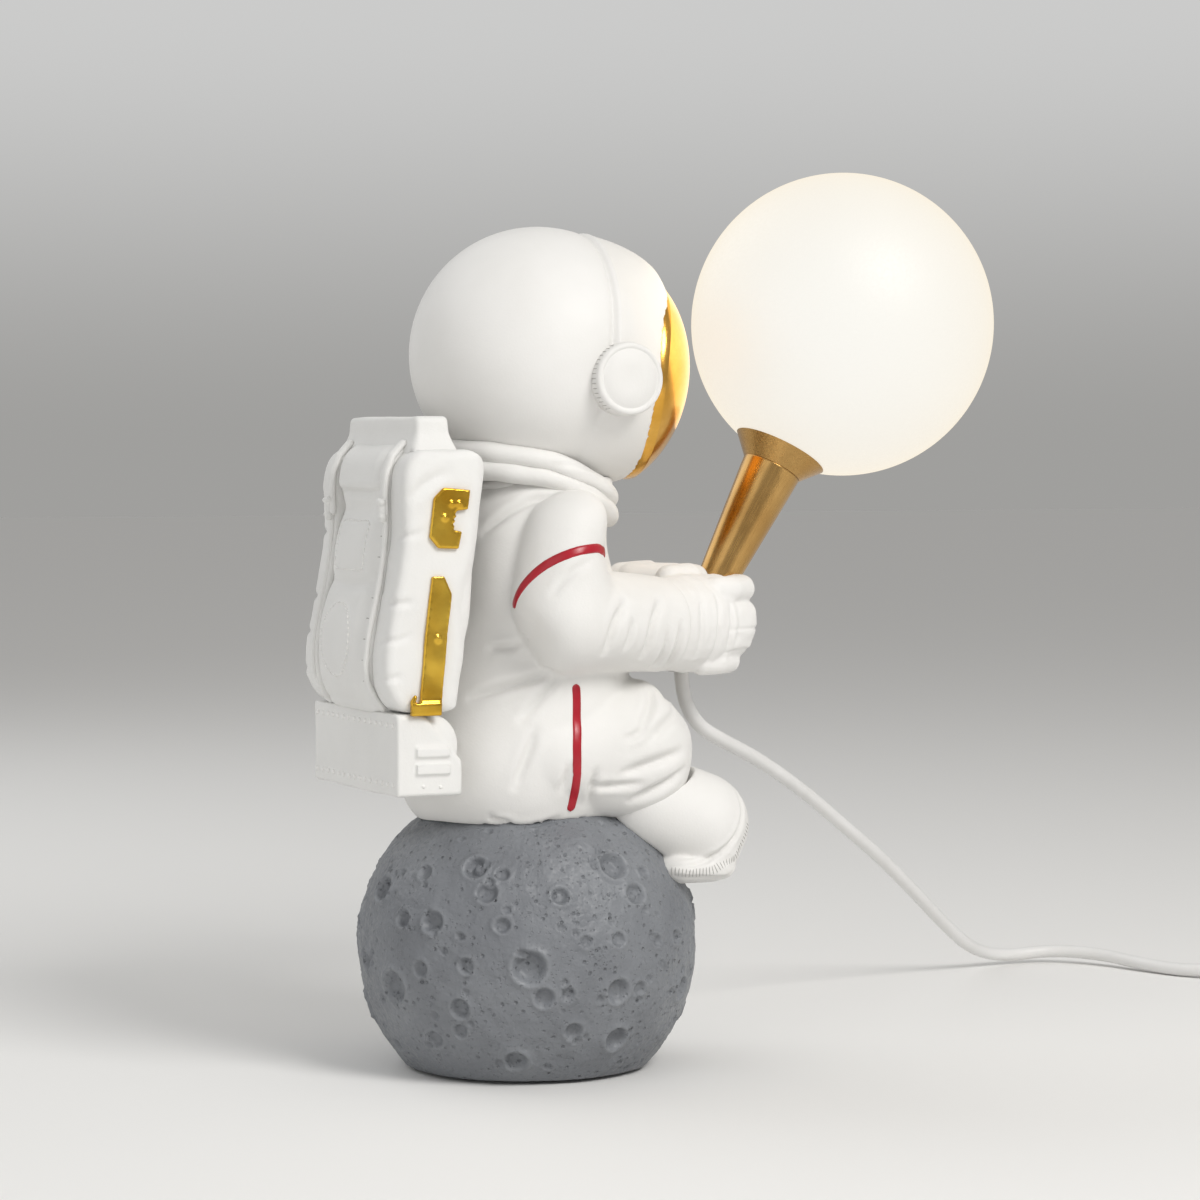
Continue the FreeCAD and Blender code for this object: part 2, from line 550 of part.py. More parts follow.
def make_legs(ball, torso):
    """Trouser legs, boots and boot soles; the left ones mirror the right."""
    hip = Vector(-mm("hip_out"), mm("hip_back"), mm("hip_up"))
    knee = right_point("knee_out", "knee_fore", "hip_up")
    leg_form = beside_middle("leg", shaped(
        "leg_form", limb(((hip, mm("hip_radius")), (knee, mm("knee_radius"))))
    ))
    leg = keep(cut("leg_cut", leg_form, torso, ball), "right_leg")
    left_of(leg, "left_leg")

    sole_outline = level_ellipse(Vector(0, 0, 0), mm("sole_half_wide"), mm("sole_half_long"))
    sole_turn = Rotation(ALONG_X, -mm("sole_tilt"))
    sole_place = Placement(right_point("toe_out", "sole_fore", "sole_up"), sole_turn)
    slab = Part.Face(sole_outline).extrude(ALONG_Z * mm("sole_thick"))
    slab = slab.makeFillet(mm("sole_round"), slab.Edges[:1] + slab.Edges[-1:])
    slab = shaped("sole_slab", slab, sole_place)
    under = Part.makeBox(
        mm("reach_out"), mm("reach_out"), mm("reach_out"),
        Vector(-mm("reach_out") / 2, -mm("reach_out") / 2, mm("sole_thick") - mm("reach_out")),
    )
    under = shaped("under_boot", under, sole_place)
    ankle = right_point("ankle_out", "ankle_fore", "ankle_up")
    toe = right_point("toe_out", "toe_fore", "toe_up")
    boot_form = beside_middle("boot", shaped(
        "boot_form", limb(((ankle, mm("ankle_radius")), (toe, mm("toe_radius"))))
    ))
    boot = keep(cut("boot_cut", boot_form, under, leg_form, torso, ball), "right_boot")
    left_of(boot, "left_boot")
    sole = keep(cut("sole_cut", slab, ball), "right_boot_sole")
    left_of(sole, "left_boot_sole")


def make_arms(torso):
    """Sleeves and the gloves that clasp the stem; the left ones mirror the right."""
    shoulder = right_point("shoulder_out", "shoulder_fore", "shoulder_up")
    elbow = Vector(-mm("elbow_out"), mm("elbow_back"), mm("elbow_up"))
    cuff = right_point("cuff_out", "cuff_fore", "cuff_up")
    stations = (
        (shoulder, mm("shoulder_radius")), (elbow, mm("elbow_radius")), (cuff, mm("cuff_radius")),
    )
    sleeve_form = shaped("sleeve_form", limb(stations))
    sleeve = keep(cut("sleeve_cut", sleeve_form, torso), "right_sleeve")
    left_of(sleeve, "left_sleeve")

    palm_form = egg(mm("palm_radius"), mm("palm_half_long"), mm("palm_half_long"))
    palm_place = Placement(right_point("palm_out", "palm_fore", "palm_up"), Rotation(ALONG_X, 90))
    palm = shaped("palm", palm_form, palm_place)
    fingers = []
    for up, reach in FINGER_SHARES:
        height = mm("finger_row_low") + up * mm("finger_row_tall")
        root = Vector(-mm("finger_root_out"), -reach * mm("finger_root_fore"), height)
        tip = Vector(-mm("finger_tip_out"), -reach * mm("finger_tip_fore"), height)
        roll = limb(((root, mm("finger_radius")), (tip, mm("finger_radius"))))
        fingers.append(shaped(f"finger_{len(fingers)}", roll))
    thumb = shaped("thumb", limb((
        (right_point("thumb_root_out", "thumb_root_fore", "thumb_up"), mm("thumb_radius")),
        (right_point("thumb_tip_out", "thumb_tip_fore", "thumb_up"), mm("thumb_radius")),
    )))
    room_foot = "-Sizes.stem_length - Sizes.stem_gap"
    room_radius = "Sizes.stem_grip_radius + Sizes.stem_gap"
    stem_room = on_stem(turned("stem_room", (
        ("0", room_foot), (room_radius, room_foot), (room_radius, "-Sizes.stem_taper_end"),
        ("Sizes.stem_top_radius + Sizes.stem_gap", "0"), ("0", "0"),
    )))
    outlet_room = primitive(
        "Cylinder", "outlet_room", Radius="Sizes.bush_radius",
        Height="Sizes.outlet_room_top - Sizes.outlet_up + Sizes.overrun",
    )
    place(outlet_room, y="-Sizes.outlet_fore", z="Sizes.outlet_up - Sizes.overrun")
    parts = []
    for piece in (palm, thumb, *fingers):
        piece = beside_middle(piece.Name, piece)
        parts.append(cut(f"{piece.Name}_clear", piece, sleeve_form, stem_room, outlet_room))
    glove = keep(joined("fist", *parts), "right_glove")
    left_of(glove, "left_glove")
    return sleeve_form


def make_collar(helmet, torso, sleeve_form):
    """The two rolls of the suit's collar, leaned with the neck."""
    other_sleeve = doc.addObject("Part::Mirroring", "other_sleeve")
    other_sleeve.Source = sleeve_form
    other_sleeve.Normal = ALONG_X
    rolls = []
    for name in ("upper", "lower"):
        roll = primitive(
            "Torus", f"collar_{name}_ring", Radius1=f"Sizes.collar_{name}_radius",
            Radius2=f"Sizes.collar_{name}_thick",
        )
        rolls.append(place(
            roll, y=f"Sizes.collar_{name}_back", z=f"Sizes.collar_{name}_up", angle="Sizes.collar_tilt",
        ))
    upper, lower = rolls
    seat = primitive(
        "Torus", "collar_seat_ring", Radius1="Sizes.collar_upper_radius",
        Radius2="Sizes.collar_upper_thick + Sizes.running_gap",
    )
    place(seat, y="Sizes.collar_upper_back", z="Sizes.collar_upper_up", angle="Sizes.collar_tilt")
    keep(cut("collar_upper_cut", upper, helmet, torso), "collar_upper_roll")
    keep(cut("collar_lower_cut", lower, helmet, seat, torso, sleeve_form, other_sleeve), "collar_lower_roll")


def pack_form(name, shares, half_wide, inner=0.0, proud=0.0):
    """A slice of the backpack: its side outline, smooth at the rear, carried across the pack."""
    points = [
        Vector(
            inner, mm("pack_front") + deep * mm("pack_deep") + (proud if deep > 0.5 else 0.0),
            mm("pack_base") + up * mm("pack_tall"),
        ) for deep, up in shares
    ]
    rear = Part.BSplineCurve()
    rear.interpolate(points[1:-1])
    edges = [
        Part.LineSegment(points[0], points[1]).toShape(), rear.toShape(),
        Part.LineSegment(points[-2], points[-1]).toShape(), Part.LineSegment(points[-1], points[0]).toShape(),
    ]
    return shaped(name, Part.Face(Part.Wire(edges)).extrude(ALONG_X * (half_wide - inner)))


def make_backpack(torso, helmet):
    """Spine, welts, side pouches, clips, top cap and lower box; returns the right pouch."""
    spine_half = mm("spine_half_wide")
    spine = pack_form("spine_form", SPINE_SHARES, spine_half, inner=-spine_half)
    spine = keep(cut("spine_cut", spine, torso), "backpack_spine")
    welt_outer = spine_half + mm("welt_wide")
    welt_form = pack_form("welt_form", WELT_SHARES, -welt_outer, inner=-spine_half, proud=mm("welt_proud"))
    right_welt = keep(cut("welt_cut", welt_form, torso), "right_pack_welt")
    left_of(right_welt, "left_pack_welt")
    pouch_form = pack_form("pouch_form", POUCH_SHARES, -mm("pouch_half_wide"), inner=-welt_outer)
    side_x = -mm("pouch_half_wide")
    pouch_form = part_rounded(
        "pouch_round", pouch_form, mm("pouch_round"),
        lambda edge: abs(edge.CenterOfMass.x - side_x) < mm("snug_gap"),
    )
    right_pouch = keep(cut("pouch_cut", pouch_form, torso), "right_pack_pouch")
    left_of(right_pouch, "left_pack_pouch")

    clip_block = primitive(
        "Box", "clip_block", Length="Sizes.clip_wide", Width="Sizes.clip_deep", Height="Sizes.clip_tall",
    )
    clip_back = max(deep for deep, up in WELT_SHARES if up > 0.7) * mm("pack_deep") + mm("pack_front")
    clip_middle = -(spine_half + mm("welt_wide") / 2)
    clip_block.Placement = Placement(
        Vector(clip_middle - mm("clip_wide") / 2, clip_back - mm("clip_deep") / 2, mm("clip_up") - mm("clip_tall")),
        Rotation(),
    )
    doc.recompute()
    clip = cut("clip_cut", clip_block, welt_form, pouch_form, spine)
    other_clip = doc.addObject("Part::Mirroring", "other_clip")
    other_clip.Source = clip
    other_clip.Normal = ALONG_X
    keep(grouped("clips", clip, other_clip), "pack_clips")

    cap = padded(
        "pack_top_form", "XY_Plane",
        (("-Sizes.cap_half_wide", "Sizes.cap_front"), ("Sizes.cap_half_wide", "Sizes.cap_front"),
         ("Sizes.cap_half_wide", "Sizes.cap_back"), ("-Sizes.cap_half_wide", "Sizes.cap_back")),
        "Sizes.cap_top - Sizes.pack_base - Sizes.pack_tall", taper="-Sizes.cap_taper",
    )
    place(cap, z="Sizes.pack_base + Sizes.pack_tall")
    rounded(cap, "Sizes.cap_round", lambda edge: edge.BoundBox.ZMax > mm("overrun"))
    keep(cut("cap_cut", cap, helmet, welt_form, left_form("cap_welt", welt_form)), "pack_top_cap")

    box = padded(
        "pack_lower_form", "YZ_Plane",
        (("Sizes.box_front", "Sizes.box_base"), ("Sizes.box_back", "Sizes.box_base"),
         ("Sizes.box_back", "Sizes.pack_base"),
         ("Sizes.box_front + Sizes.box_corner", "Sizes.pack_base"),
         ("Sizes.box_front", "Sizes.pack_base - Sizes.box_corner")),
        "2 * Sizes.box_half_wide", both_ways=True,
    )
    corner_up = mm("pack_base") - mm("box_corner")
    rounded(box, "Sizes.box_corner / 2", lambda edge: along_x(edge) and edge.CenterOfMass.z > corner_up - mm("overrun")
            and edge.CenterOfMass.y < mm("box_back") - mm("overrun"))
    rounded(box, "Sizes.box_round", lambda edge: not along_x(edge) or edge.CenterOfMass.z < mm("box_base") + mm("overrun"))
    ribs = []
    for index in range(2):
        rib = primitive(
            "Box", f"side_rib_{index}", Length="2 * (Sizes.box_half_wide + Sizes.rib_proud)",
            Width="Sizes.rib_long", Height="Sizes.rib_tall",
        )
        ribs.append(place(
            rib, x="-Sizes.box_half_wide - Sizes.rib_proud", y="Sizes.rib_back - Sizes.rib_long",
            z=f"Sizes.rib_first_up - {index} * Sizes.rib_step",
        ))
    box = joined("lower_box_ribs", box, *ribs)
    keep(cut("lower_box_cut", box, torso), "pack_lower_box")
    return right_pouch


def along_x(edge):
    """Whether an edge runs straight along X."""
    return edge.BoundBox.YLength + edge.BoundBox.ZLength < mm("snug_gap")


def left_form(name, form):
    """The mirror image of a form, used as a tool."""
    twin = doc.addObject("Part::Mirroring", name)
    twin.Source = form
    twin.Normal = ALONG_X
    return twin


def tool_corners(prefix, shares):
    """Outline of a gilt tool on the pouch's side, in the sheet's names."""
    return tuple(
        (f"Sizes.{prefix}_back - {wide} * Sizes.{prefix}_wide", f"Sizes.{prefix}_base + {up} * Sizes.{prefix}_tall")
        for wide, up in shares
    )


def make_tools(pouch):
    """The gilt spanner and lever, seated on the right pouch's side."""
    for prefix, label, shares, rivets in (
        ("spanner", "gilt_spanner", SPANNER_SHARES, SPANNER_RIVET_SHARES),
        ("lever", "gilt_lever", LEVER_SHARES, LEVER_RIVET_SHARES),
    ):
        plate = padded(
            f"{label}_plate", "YZ_Plane", tool_corners(prefix, shares), "Sizes.tool_proud + Sizes.tool_sink",
        )
        place(plate, x="-Sizes.pouch_half_wide - Sizes.tool_proud")
        pieces = [plate]
        for wide, up in rivets:
            stud = primitive(
                "Cone", f"{prefix}_rivet_{len(pieces)}", Radius1="Sizes.rivet_radius",
                Radius2="Sizes.rivet_radius / 2", Height="Sizes.rivet_proud",
            )
            pieces.append(place(
                stud, x="-Sizes.pouch_half_wide - Sizes.tool_proud",
                y=f"Sizes.{prefix}_back - {wide} * Sizes.{prefix}_wide",
                z=f"Sizes.{prefix}_base + {up} * Sizes.{prefix}_tall", axis=ALONG_Y, angle="-90",
            ))
        if prefix == "lever":
            foot = primitive(
                "Box", "lever_foot", Length="Sizes.tool_proud + Sizes.tool_sink + Sizes.rivet_proud",
                Width="0.66 * Sizes.lever_wide + 2 * Sizes.lever_foot_over / 2", Height="Sizes.lever_foot_tall",
            )
            pieces.append(place(
                foot, x="-Sizes.pouch_half_wide - Sizes.tool_proud - Sizes.rivet_proud",
                y="Sizes.lever_back - 0.66 * Sizes.lever_wide", z="Sizes.lever_base - Sizes.lever_foot_tall / 2",
            ))
        keep(cut(f"{label}_cut", joined(f"{label}_form", *pieces), pouch), label)


def make_stem():
    """Stem tube, cup, threaded nipple, nuts and the holder with its contact leaves."""
    straight = "-Sizes.stem_taper_end"
    grip_bore = "Sizes.stem_grip_radius - Sizes.stem_wall"
    stem = turned("stem_tube", (
        ("Sizes.stem_grip_radius", "-Sizes.stem_length"), ("Sizes.stem_grip_radius", straight),
        ("Sizes.stem_top_radius", "0"), ("Sizes.nipple_radius + Sizes.snug_gap", "0"),
        ("Sizes.nipple_radius + Sizes.snug_gap", "-Sizes.stem_cap_thick"),
        ("Sizes.stem_top_radius - Sizes.stem_wall", "-Sizes.stem_cap_thick"),
        (grip_bore, straight), (grip_bore, "-Sizes.stem_length"),
    ))
    keep(on_stem(stem), "stem_tube")
    cup = turned("shade_cup", (
        ("Sizes.nipple_radius + Sizes.snug_gap", "0"), ("Sizes.stem_top_radius", "0"),
        ("Sizes.cup_rim_radius", "Sizes.cup_tall"),
        ("Sizes.cup_rim_radius - 1.4 * Sizes.cup_wall", "Sizes.cup_tall - Sizes.cup_rim_dip"),
        ("Sizes.stem_top_radius - Sizes.cup_wall / 2", "Sizes.cup_wall"),
        ("Sizes.nipple_radius + Sizes.snug_gap", "Sizes.cup_wall"),
    ))
    keep(on_stem(cup), "shade_cup")
    nipple = turned("threaded_nipple", (
        ("Sizes.nipple_bore", "-Sizes.nipple_below"), ("Sizes.nipple_radius", "-Sizes.nipple_below"),
        ("Sizes.nipple_radius", "Sizes.nipple_above"), ("Sizes.nipple_bore", "Sizes.nipple_above"),
    ))
    keep(on_stem(nipple), "threaded_nipple")
    corner = "Sizes.nut_flats / sqrt(3)"
    nut = padded(
        "stem_nut_form", "XY_Plane",
        tuple((f"{corner} * cos({60 * side})", f"{corner} * sin({60 * side})") for side in range(6)),
        "Sizes.nut_thick",
    )
    nut_bore = primitive(
        "Cylinder", "nut_bore", Radius="Sizes.nipple_radius + Sizes.snug_gap", Height="Sizes.nut_thick + Sizes.overrun",
    )
    nut = cut("stem_nut_cut", nut, nut_bore)
    keep(nut, "stem_nut")
    stem_turn = Rotation(ALONG_X, mm("stem_tilt"))
    below_cap = Vector(0, 0, -mm("stem_cap_thick") - mm("nut_thick"))
    top = Vector(0, -mm("stem_top_fore"), mm("stem_top_up"))
    nut.Placement = Placement(top + stem_turn.multVec(below_cap), stem_turn)

    holder = turned("lamp_holder_form", (
        ("Sizes.nipple_radius + Sizes.snug_gap", "Sizes.cup_wall"), ("Sizes.holder_radius", "Sizes.cup_wall"),
        ("Sizes.holder_radius", "Sizes.holder_tall"), ("0", "Sizes.holder_tall"),
        ("0", "Sizes.holder_pocket"), ("Sizes.nipple_radius + Sizes.snug_gap", "Sizes.holder_pocket"),
    ))
    slots = []
    leaves = []
    for side in (-1, 1):
        middle = f"{side} * Sizes.pin_pitch / 2"
        slot = primitive(
            "Box", f"pin_slot_{side + 1}", Length="2 * Sizes.slot_half", Width="2 * Sizes.slot_half",
            Height="Sizes.slot_deep + Sizes.overrun",
        )
        slots.append(place(
            slot, x=f"{middle} - Sizes.slot_half", y="-Sizes.slot_half", z="Sizes.holder_tall - Sizes.slot_deep",
        ))
        outer = f"{middle} + {side} * (Sizes.slot_half - Sizes.leaf_thick / 2)"
        leaf = primitive(
            "Box", f"leaf_{side + 1}", Length="Sizes.leaf_thick", Width="Sizes.leaf_wide", Height="Sizes.leaf_tall",
        )
        leaves.append(place(
            leaf, x=f"{outer} - Sizes.leaf_thick / 2", y="-Sizes.leaf_wide / 2",
            z="Sizes.holder_tall - Sizes.slot_deep",
        ))
    keep(on_stem(cut("lamp_holder_cut", holder, *slots)), "lamp_holder")
    keep(on_stem(grouped("leaves", *leaves)), "contact_leaves")


def make_bulb():
    """The capsule bulb: plastic base with its two pins, frosted tube and the board inside."""
    foot = "Sizes.holder_tall + Sizes.snug_gap"
    base_top = f"{foot} + Sizes.bulb_base_tall"
    inner = "Sizes.bulb_radius - Sizes.bulb_wall"
    base = turned("bulb_base_form", (
        ("0", foot), (f"{inner}", foot), (f"{inner}", base_top), ("0", base_top),
    ))
    flange = turned("bulb_flange_form", (
        (f"{inner}", foot), ("Sizes.bulb_radius", foot), ("Sizes.bulb_radius", f"{foot} + Sizes.bulb_base_tall / 2"),
        (f"{inner}", f"{foot} + Sizes.bulb_base_tall / 2"),
    ))
    keep(on_stem(joined("bulb_base_join", base, flange)), "bulb_base")
    pins = []
    for side in (-1, 1):
        pin = primitive("Cylinder", f"bulb_pin_{side + 1}", Radius="Sizes.pin_radius", Height="Sizes.pin_long")
        pins.append(place(pin, x=f"{side} * Sizes.pin_pitch / 2", z=f"{foot} - Sizes.pin_long"))
    keep(on_stem(grouped("pins", *pins)), "bulb_pins")

    tube_foot = worth(foot) + mm("bulb_base_tall") / 2
    tube_top = worth(foot) + mm("bulb_tall") - mm("bulb_radius")
    walls = []
    for radius in (mm("bulb_radius"), mm("bulb_radius") - mm("bulb_wall")):
        tube = Part.makeCylinder(radius, tube_top - tube_foot, Vector(0, 0, tube_foot))
        walls.append(tube.fuse(Part.makeSphere(radius, Vector(0, 0, tube_top))))
    outer, cavity = walls
    below = Part.makeCylinder(mm("bulb_radius"), tube_foot, Vector(0, 0, 0))
    keep(on_stem(shaped("bulb_tube", outer.cut(cavity).cut(below))), "bulb_tube")
    board = primitive(
        "Box", "board", Length="Sizes.board_wide", Width="Sizes.board_thick", Height="Sizes.board_tall",
    )
    place(board, x="-Sizes.board_wide / 2", y="-Sizes.board_thick / 2", z=base_top)
    keep(on_stem(grouped("boards", board)), "light_board")


def make_shade():
    """The round shade, a thin shell with a mouth, and the ring fixed in the mouth."""
    balls = []
    for name, radius in (("shade_outer", "Sizes.shade_radius"), ("shade_inner", "Sizes.shade_radius - Sizes.shade_wall")):
        balls.append(place(primitive("Sphere", name, Radius=radius), z="Sizes.shade_centre"))
    mouth = primitive("Cylinder", "shade_mouth", Radius="Sizes.mouth_radius", Height="Sizes.shade_centre")
    keep(on_stem(cut("shade_cut", balls[0], balls[1], mouth)), "globe_shade")
    ring = turned("shade_ring", (
        ("Sizes.ring_bore", "Sizes.ring_low"), ("Sizes.mouth_radius", "Sizes.ring_low"),
        ("Sizes.mouth_radius", "Sizes.ring_high"), ("Sizes.ring_bore", "Sizes.ring_high"),
    ))
    keep(on_stem(ring), "globe_ring")


def bend_wire(route):
    """Straight runs joined by tangent arcs, each as large as its two runs allow; prints the radii."""
    points = [Vector(*point) for point in route]
    edges = []
    radii = []
    last = points[0]
    for before, corner, after in zip(points, points[1:], points[2:]):
        run_in, run_out = corner - before, after - corner
        half_turn = run_in.getAngle(run_out) / 2
        back = 0.45 * min(run_in.Length, run_out.Length)
        radii.append(back / math.tan(half_turn))
        start = corner - Vector(run_in).normalize() * back
        end = corner + Vector(run_out).normalize() * back
        bisector = (Vector(run_out).normalize() - Vector(run_in).normalize()).normalize()
        middle = corner + bisector * (radii[-1] / math.cos(half_turn) - radii[-1])
        edges.append(Part.LineSegment(last, start).toShape())
        edges.append(Part.Arc(start, middle, end).toShape())
        last = end
    edges.append(Part.LineSegment(last, points[-1]).toShape())
    print("radii", [round(radius, 1) for radius in radii])
    return Part.Wire(edges)


def tube_along(label, wire, diameter):
    """A round tube along a wire, checked against its section times its length."""
    start = wire.Edges[0].valueAt(wire.Edges[0].FirstParameter)
    way = wire.Edges[0].tangentAt(wire.Edges[0].FirstParameter)
    section = Part.Wire([Part.Circle(start, way, diameter / 2).toShape()])
    solid = wire.makePipeShell([section], True, False)
    expected = math.pi * diameter * diameter / 4 * wire.Length
    print(label, "length", round(wire.Length, 1), "volume share", round(solid.Volume / expected, 4))
    return keep(shaped(f"{label}_tube", solid), label)


def coil_point(turn):
    """Centre of the coiled cord after a number of turns, clockwise from the side nearest the viewer."""
    layer_turns = (mm("coil_outer") - mm("coil_inner")) / mm("coil_pitch")
    centre = Vector(mm("coil_centre_x"), mm("coil_centre_y"), mm("cord_floor"))
    climb = 0.5
    if turn <= layer_turns:
        radius, rise = mm("coil_outer") - mm("coil_pitch") * turn, 0.0
    elif turn <= layer_turns + climb:
        share = (turn - layer_turns) / climb
        radius = mm("coil_inner") - mm("coil_dip") * math.sin(math.pi * share)
        rise = mm("coil_layer") * share * share * (3 - 2 * share)
    else:
        radius, rise = mm("coil_inner") + mm("coil_pitch") * (turn - layer_turns - climb), mm("coil_layer")
    angle = math.radians(-90 - 360 * turn)
    return centre + Vector(radius * math.cos(angle), radius * math.sin(angle), rise)


def coil_way(turn):
    """Unit direction of the coiled cord at a turn."""
    step = 0.001
    return (coil_point(turn + step) - coil_point(turn - step)).normalize()


def arc_from(start, way, end):
    """The arc that leaves start along way and ends at end."""
    chord = end - start
    normal = way.cross(chord).normalize()
    inward = normal.cross(way).normalize()
    radius = chord.Length ** 2 / (2 * chord.dot(inward))
    centre = start + inward * radius
    half = ((start + end) * 0.5 - centre).normalize()
    return Part.Arc(start, centre + half * abs(radius), end).toShape()


def biarc(first, first_way, second, second_way):
    """Two arcs that join two points and share their directions."""
    gap = second - first
    both = first_way + second_way
    room = 2 * (1 - first_way.dot(second_way))
    along = gap.dot(both)
    reach = (-along + math.sqrt(along * along + room * gap.dot(gap))) / room
    middle = (first + second + (first_way - second_way) * reach) * 0.5
    way = (second - second_way * reach - first - first_way * reach).normalize()
    return [arc_from(first, first_way, middle), arc_from(middle, way, second)]


def make_cords():
    """The free cord in its stretches, and the coil of the length that is put away."""
    tube_along("lamp_cord", bend_wire(LAMP_ROUTE), mm("cord_wide"))
    layer_turns = (mm("coil_outer") - mm("coil_inner")) / mm("coil_pitch")
    last_turn = 2 * layer_turns + 0.25
    steps = round(last_turn * 4)
    turns = [last_turn * index / steps for index in range(steps + 1)]
    start, start_way = coil_point(0.0), coil_way(0.001)
    end, end_way = coil_point(last_turn), coil_way(last_turn)
    lead_in = start - start_way * mm("cord_wide")
    lead_out = end + end_way * mm("cord_wide")
    edges = [Part.LineSegment(lead_in, start).toShape()]
    ways = [start_way] + [coil_way(turn) for turn in turns[1:-1]] + [end_way]
    for index in range(steps):
        edges += biarc(coil_point(turns[index]), ways[index], coil_point(turns[index + 1]), ways[index + 1])
    edges.append(Part.LineSegment(end, lead_out).toShape())
    print("coil least gap to itself", round(coil_gap(last_turn), 2))
    tube_along("cord_coil", Part.Wire(edges), mm("cord_wide"))
    route_in = [*SWITCH_ROUTE, tuple(lead_in)]
    tube_along("switch_lead", bend_wire(route_in), mm("cord_wide"))
    plug_start = lead_out + end_way * 2 * mm("cord_wide")
    plug_end = Vector(*PLUG_ROUTE_END)
    before_plug = plug_end - ALONG_Y * 2 * mm("cord_wide")
    tube_along(
        "plug_lead", bend_wire([tuple(lead_out), tuple(plug_start), tuple(before_plug), tuple(plug_end)]),
        mm("cord_wide"),
    )


def coil_gap(last_turn):
    """Least clear distance between stretches of the coil that are over half a turn apart."""
    count = int(last_turn * 36)
    points = [coil_point(last_turn * index / count) for index in range(count + 1)]
    least = min(
        (points[first] - points[second]).Length
        for first in range(count) for second in range(first + 18, count + 1)
    )
    return least - mm("cord_wide")


def make_outlet():
    """The bush in the gloves' underside and the lead that runs on up the stem."""
    bush = turned("cord_bush_form", (
        ("Sizes.lead_wide / 2 + Sizes.snug_gap", "0"), ("Sizes.bush_radius - Sizes.snug_gap", "0"),
        ("Sizes.bush_radius - Sizes.snug_gap", "Sizes.bush_tall"),
        ("Sizes.lead_wide / 2 + Sizes.snug_gap", "Sizes.bush_tall"),
    ))
    keep(place(bush, y="-Sizes.outlet_fore", z="Sizes.outlet_up"), "cord_bush")
    stem_turn = Rotation(ALONG_X, mm("stem_tilt"))
    top = Vector(0, -mm("stem_top_fore"), mm("stem_top_up"))
    upper = top - stem_turn.multVec(ALONG_Z) * mm("nipple_below")
    lower = top - stem_turn.multVec(ALONG_Z) * (mm("stem_length") - mm("lead_wide"))
    outlet = Vector(0, -mm("outlet_fore"), mm("outlet_up"))
    knee = Vector(0, -mm("outlet_fore"), mm("outlet_up") + mm("bush_tall") + mm("lead_wide"))
    route = [tuple(outlet), tuple(knee), tuple(lower), tuple(upper)]
    tube_along("stem_lead", bend_wire(route), mm("lead_wide"))


def on_switch(piece, z="0"):
    """Turns a piece drawn about the switch's middle to the line of the cord."""
    return place(piece, x="Sizes.switch_x", y="Sizes.switch_y", z=z, axis=ALONG_Z, angle="Sizes.switch_yaw")


def switch_outline(inset="0"):
    """Half-lengths and half-widths of the switch from nose to nose, drawn in by an inset."""
    nose = f"(Sizes.switch_nose_wide / 2 - {inset})"
    side = f"(Sizes.switch_wide / 2 - {inset})"
    end = f"(Sizes.switch_long / 2 - {inset})"
    shoulder = f"(Sizes.switch_long / 2 - Sizes.switch_nose_long - {inset})"
    corners = []
    for right, up in ((1, 1), (-1, 1), (-1, -1), (1, -1)):
        near = (f"{right} * {end}", f"{up} * {nose}")
        far = (f"{right} * {shoulder}", f"{up} * {side}")
        corners += [near, far] if right * up > 0 else [far, near]
    return tuple(corners)


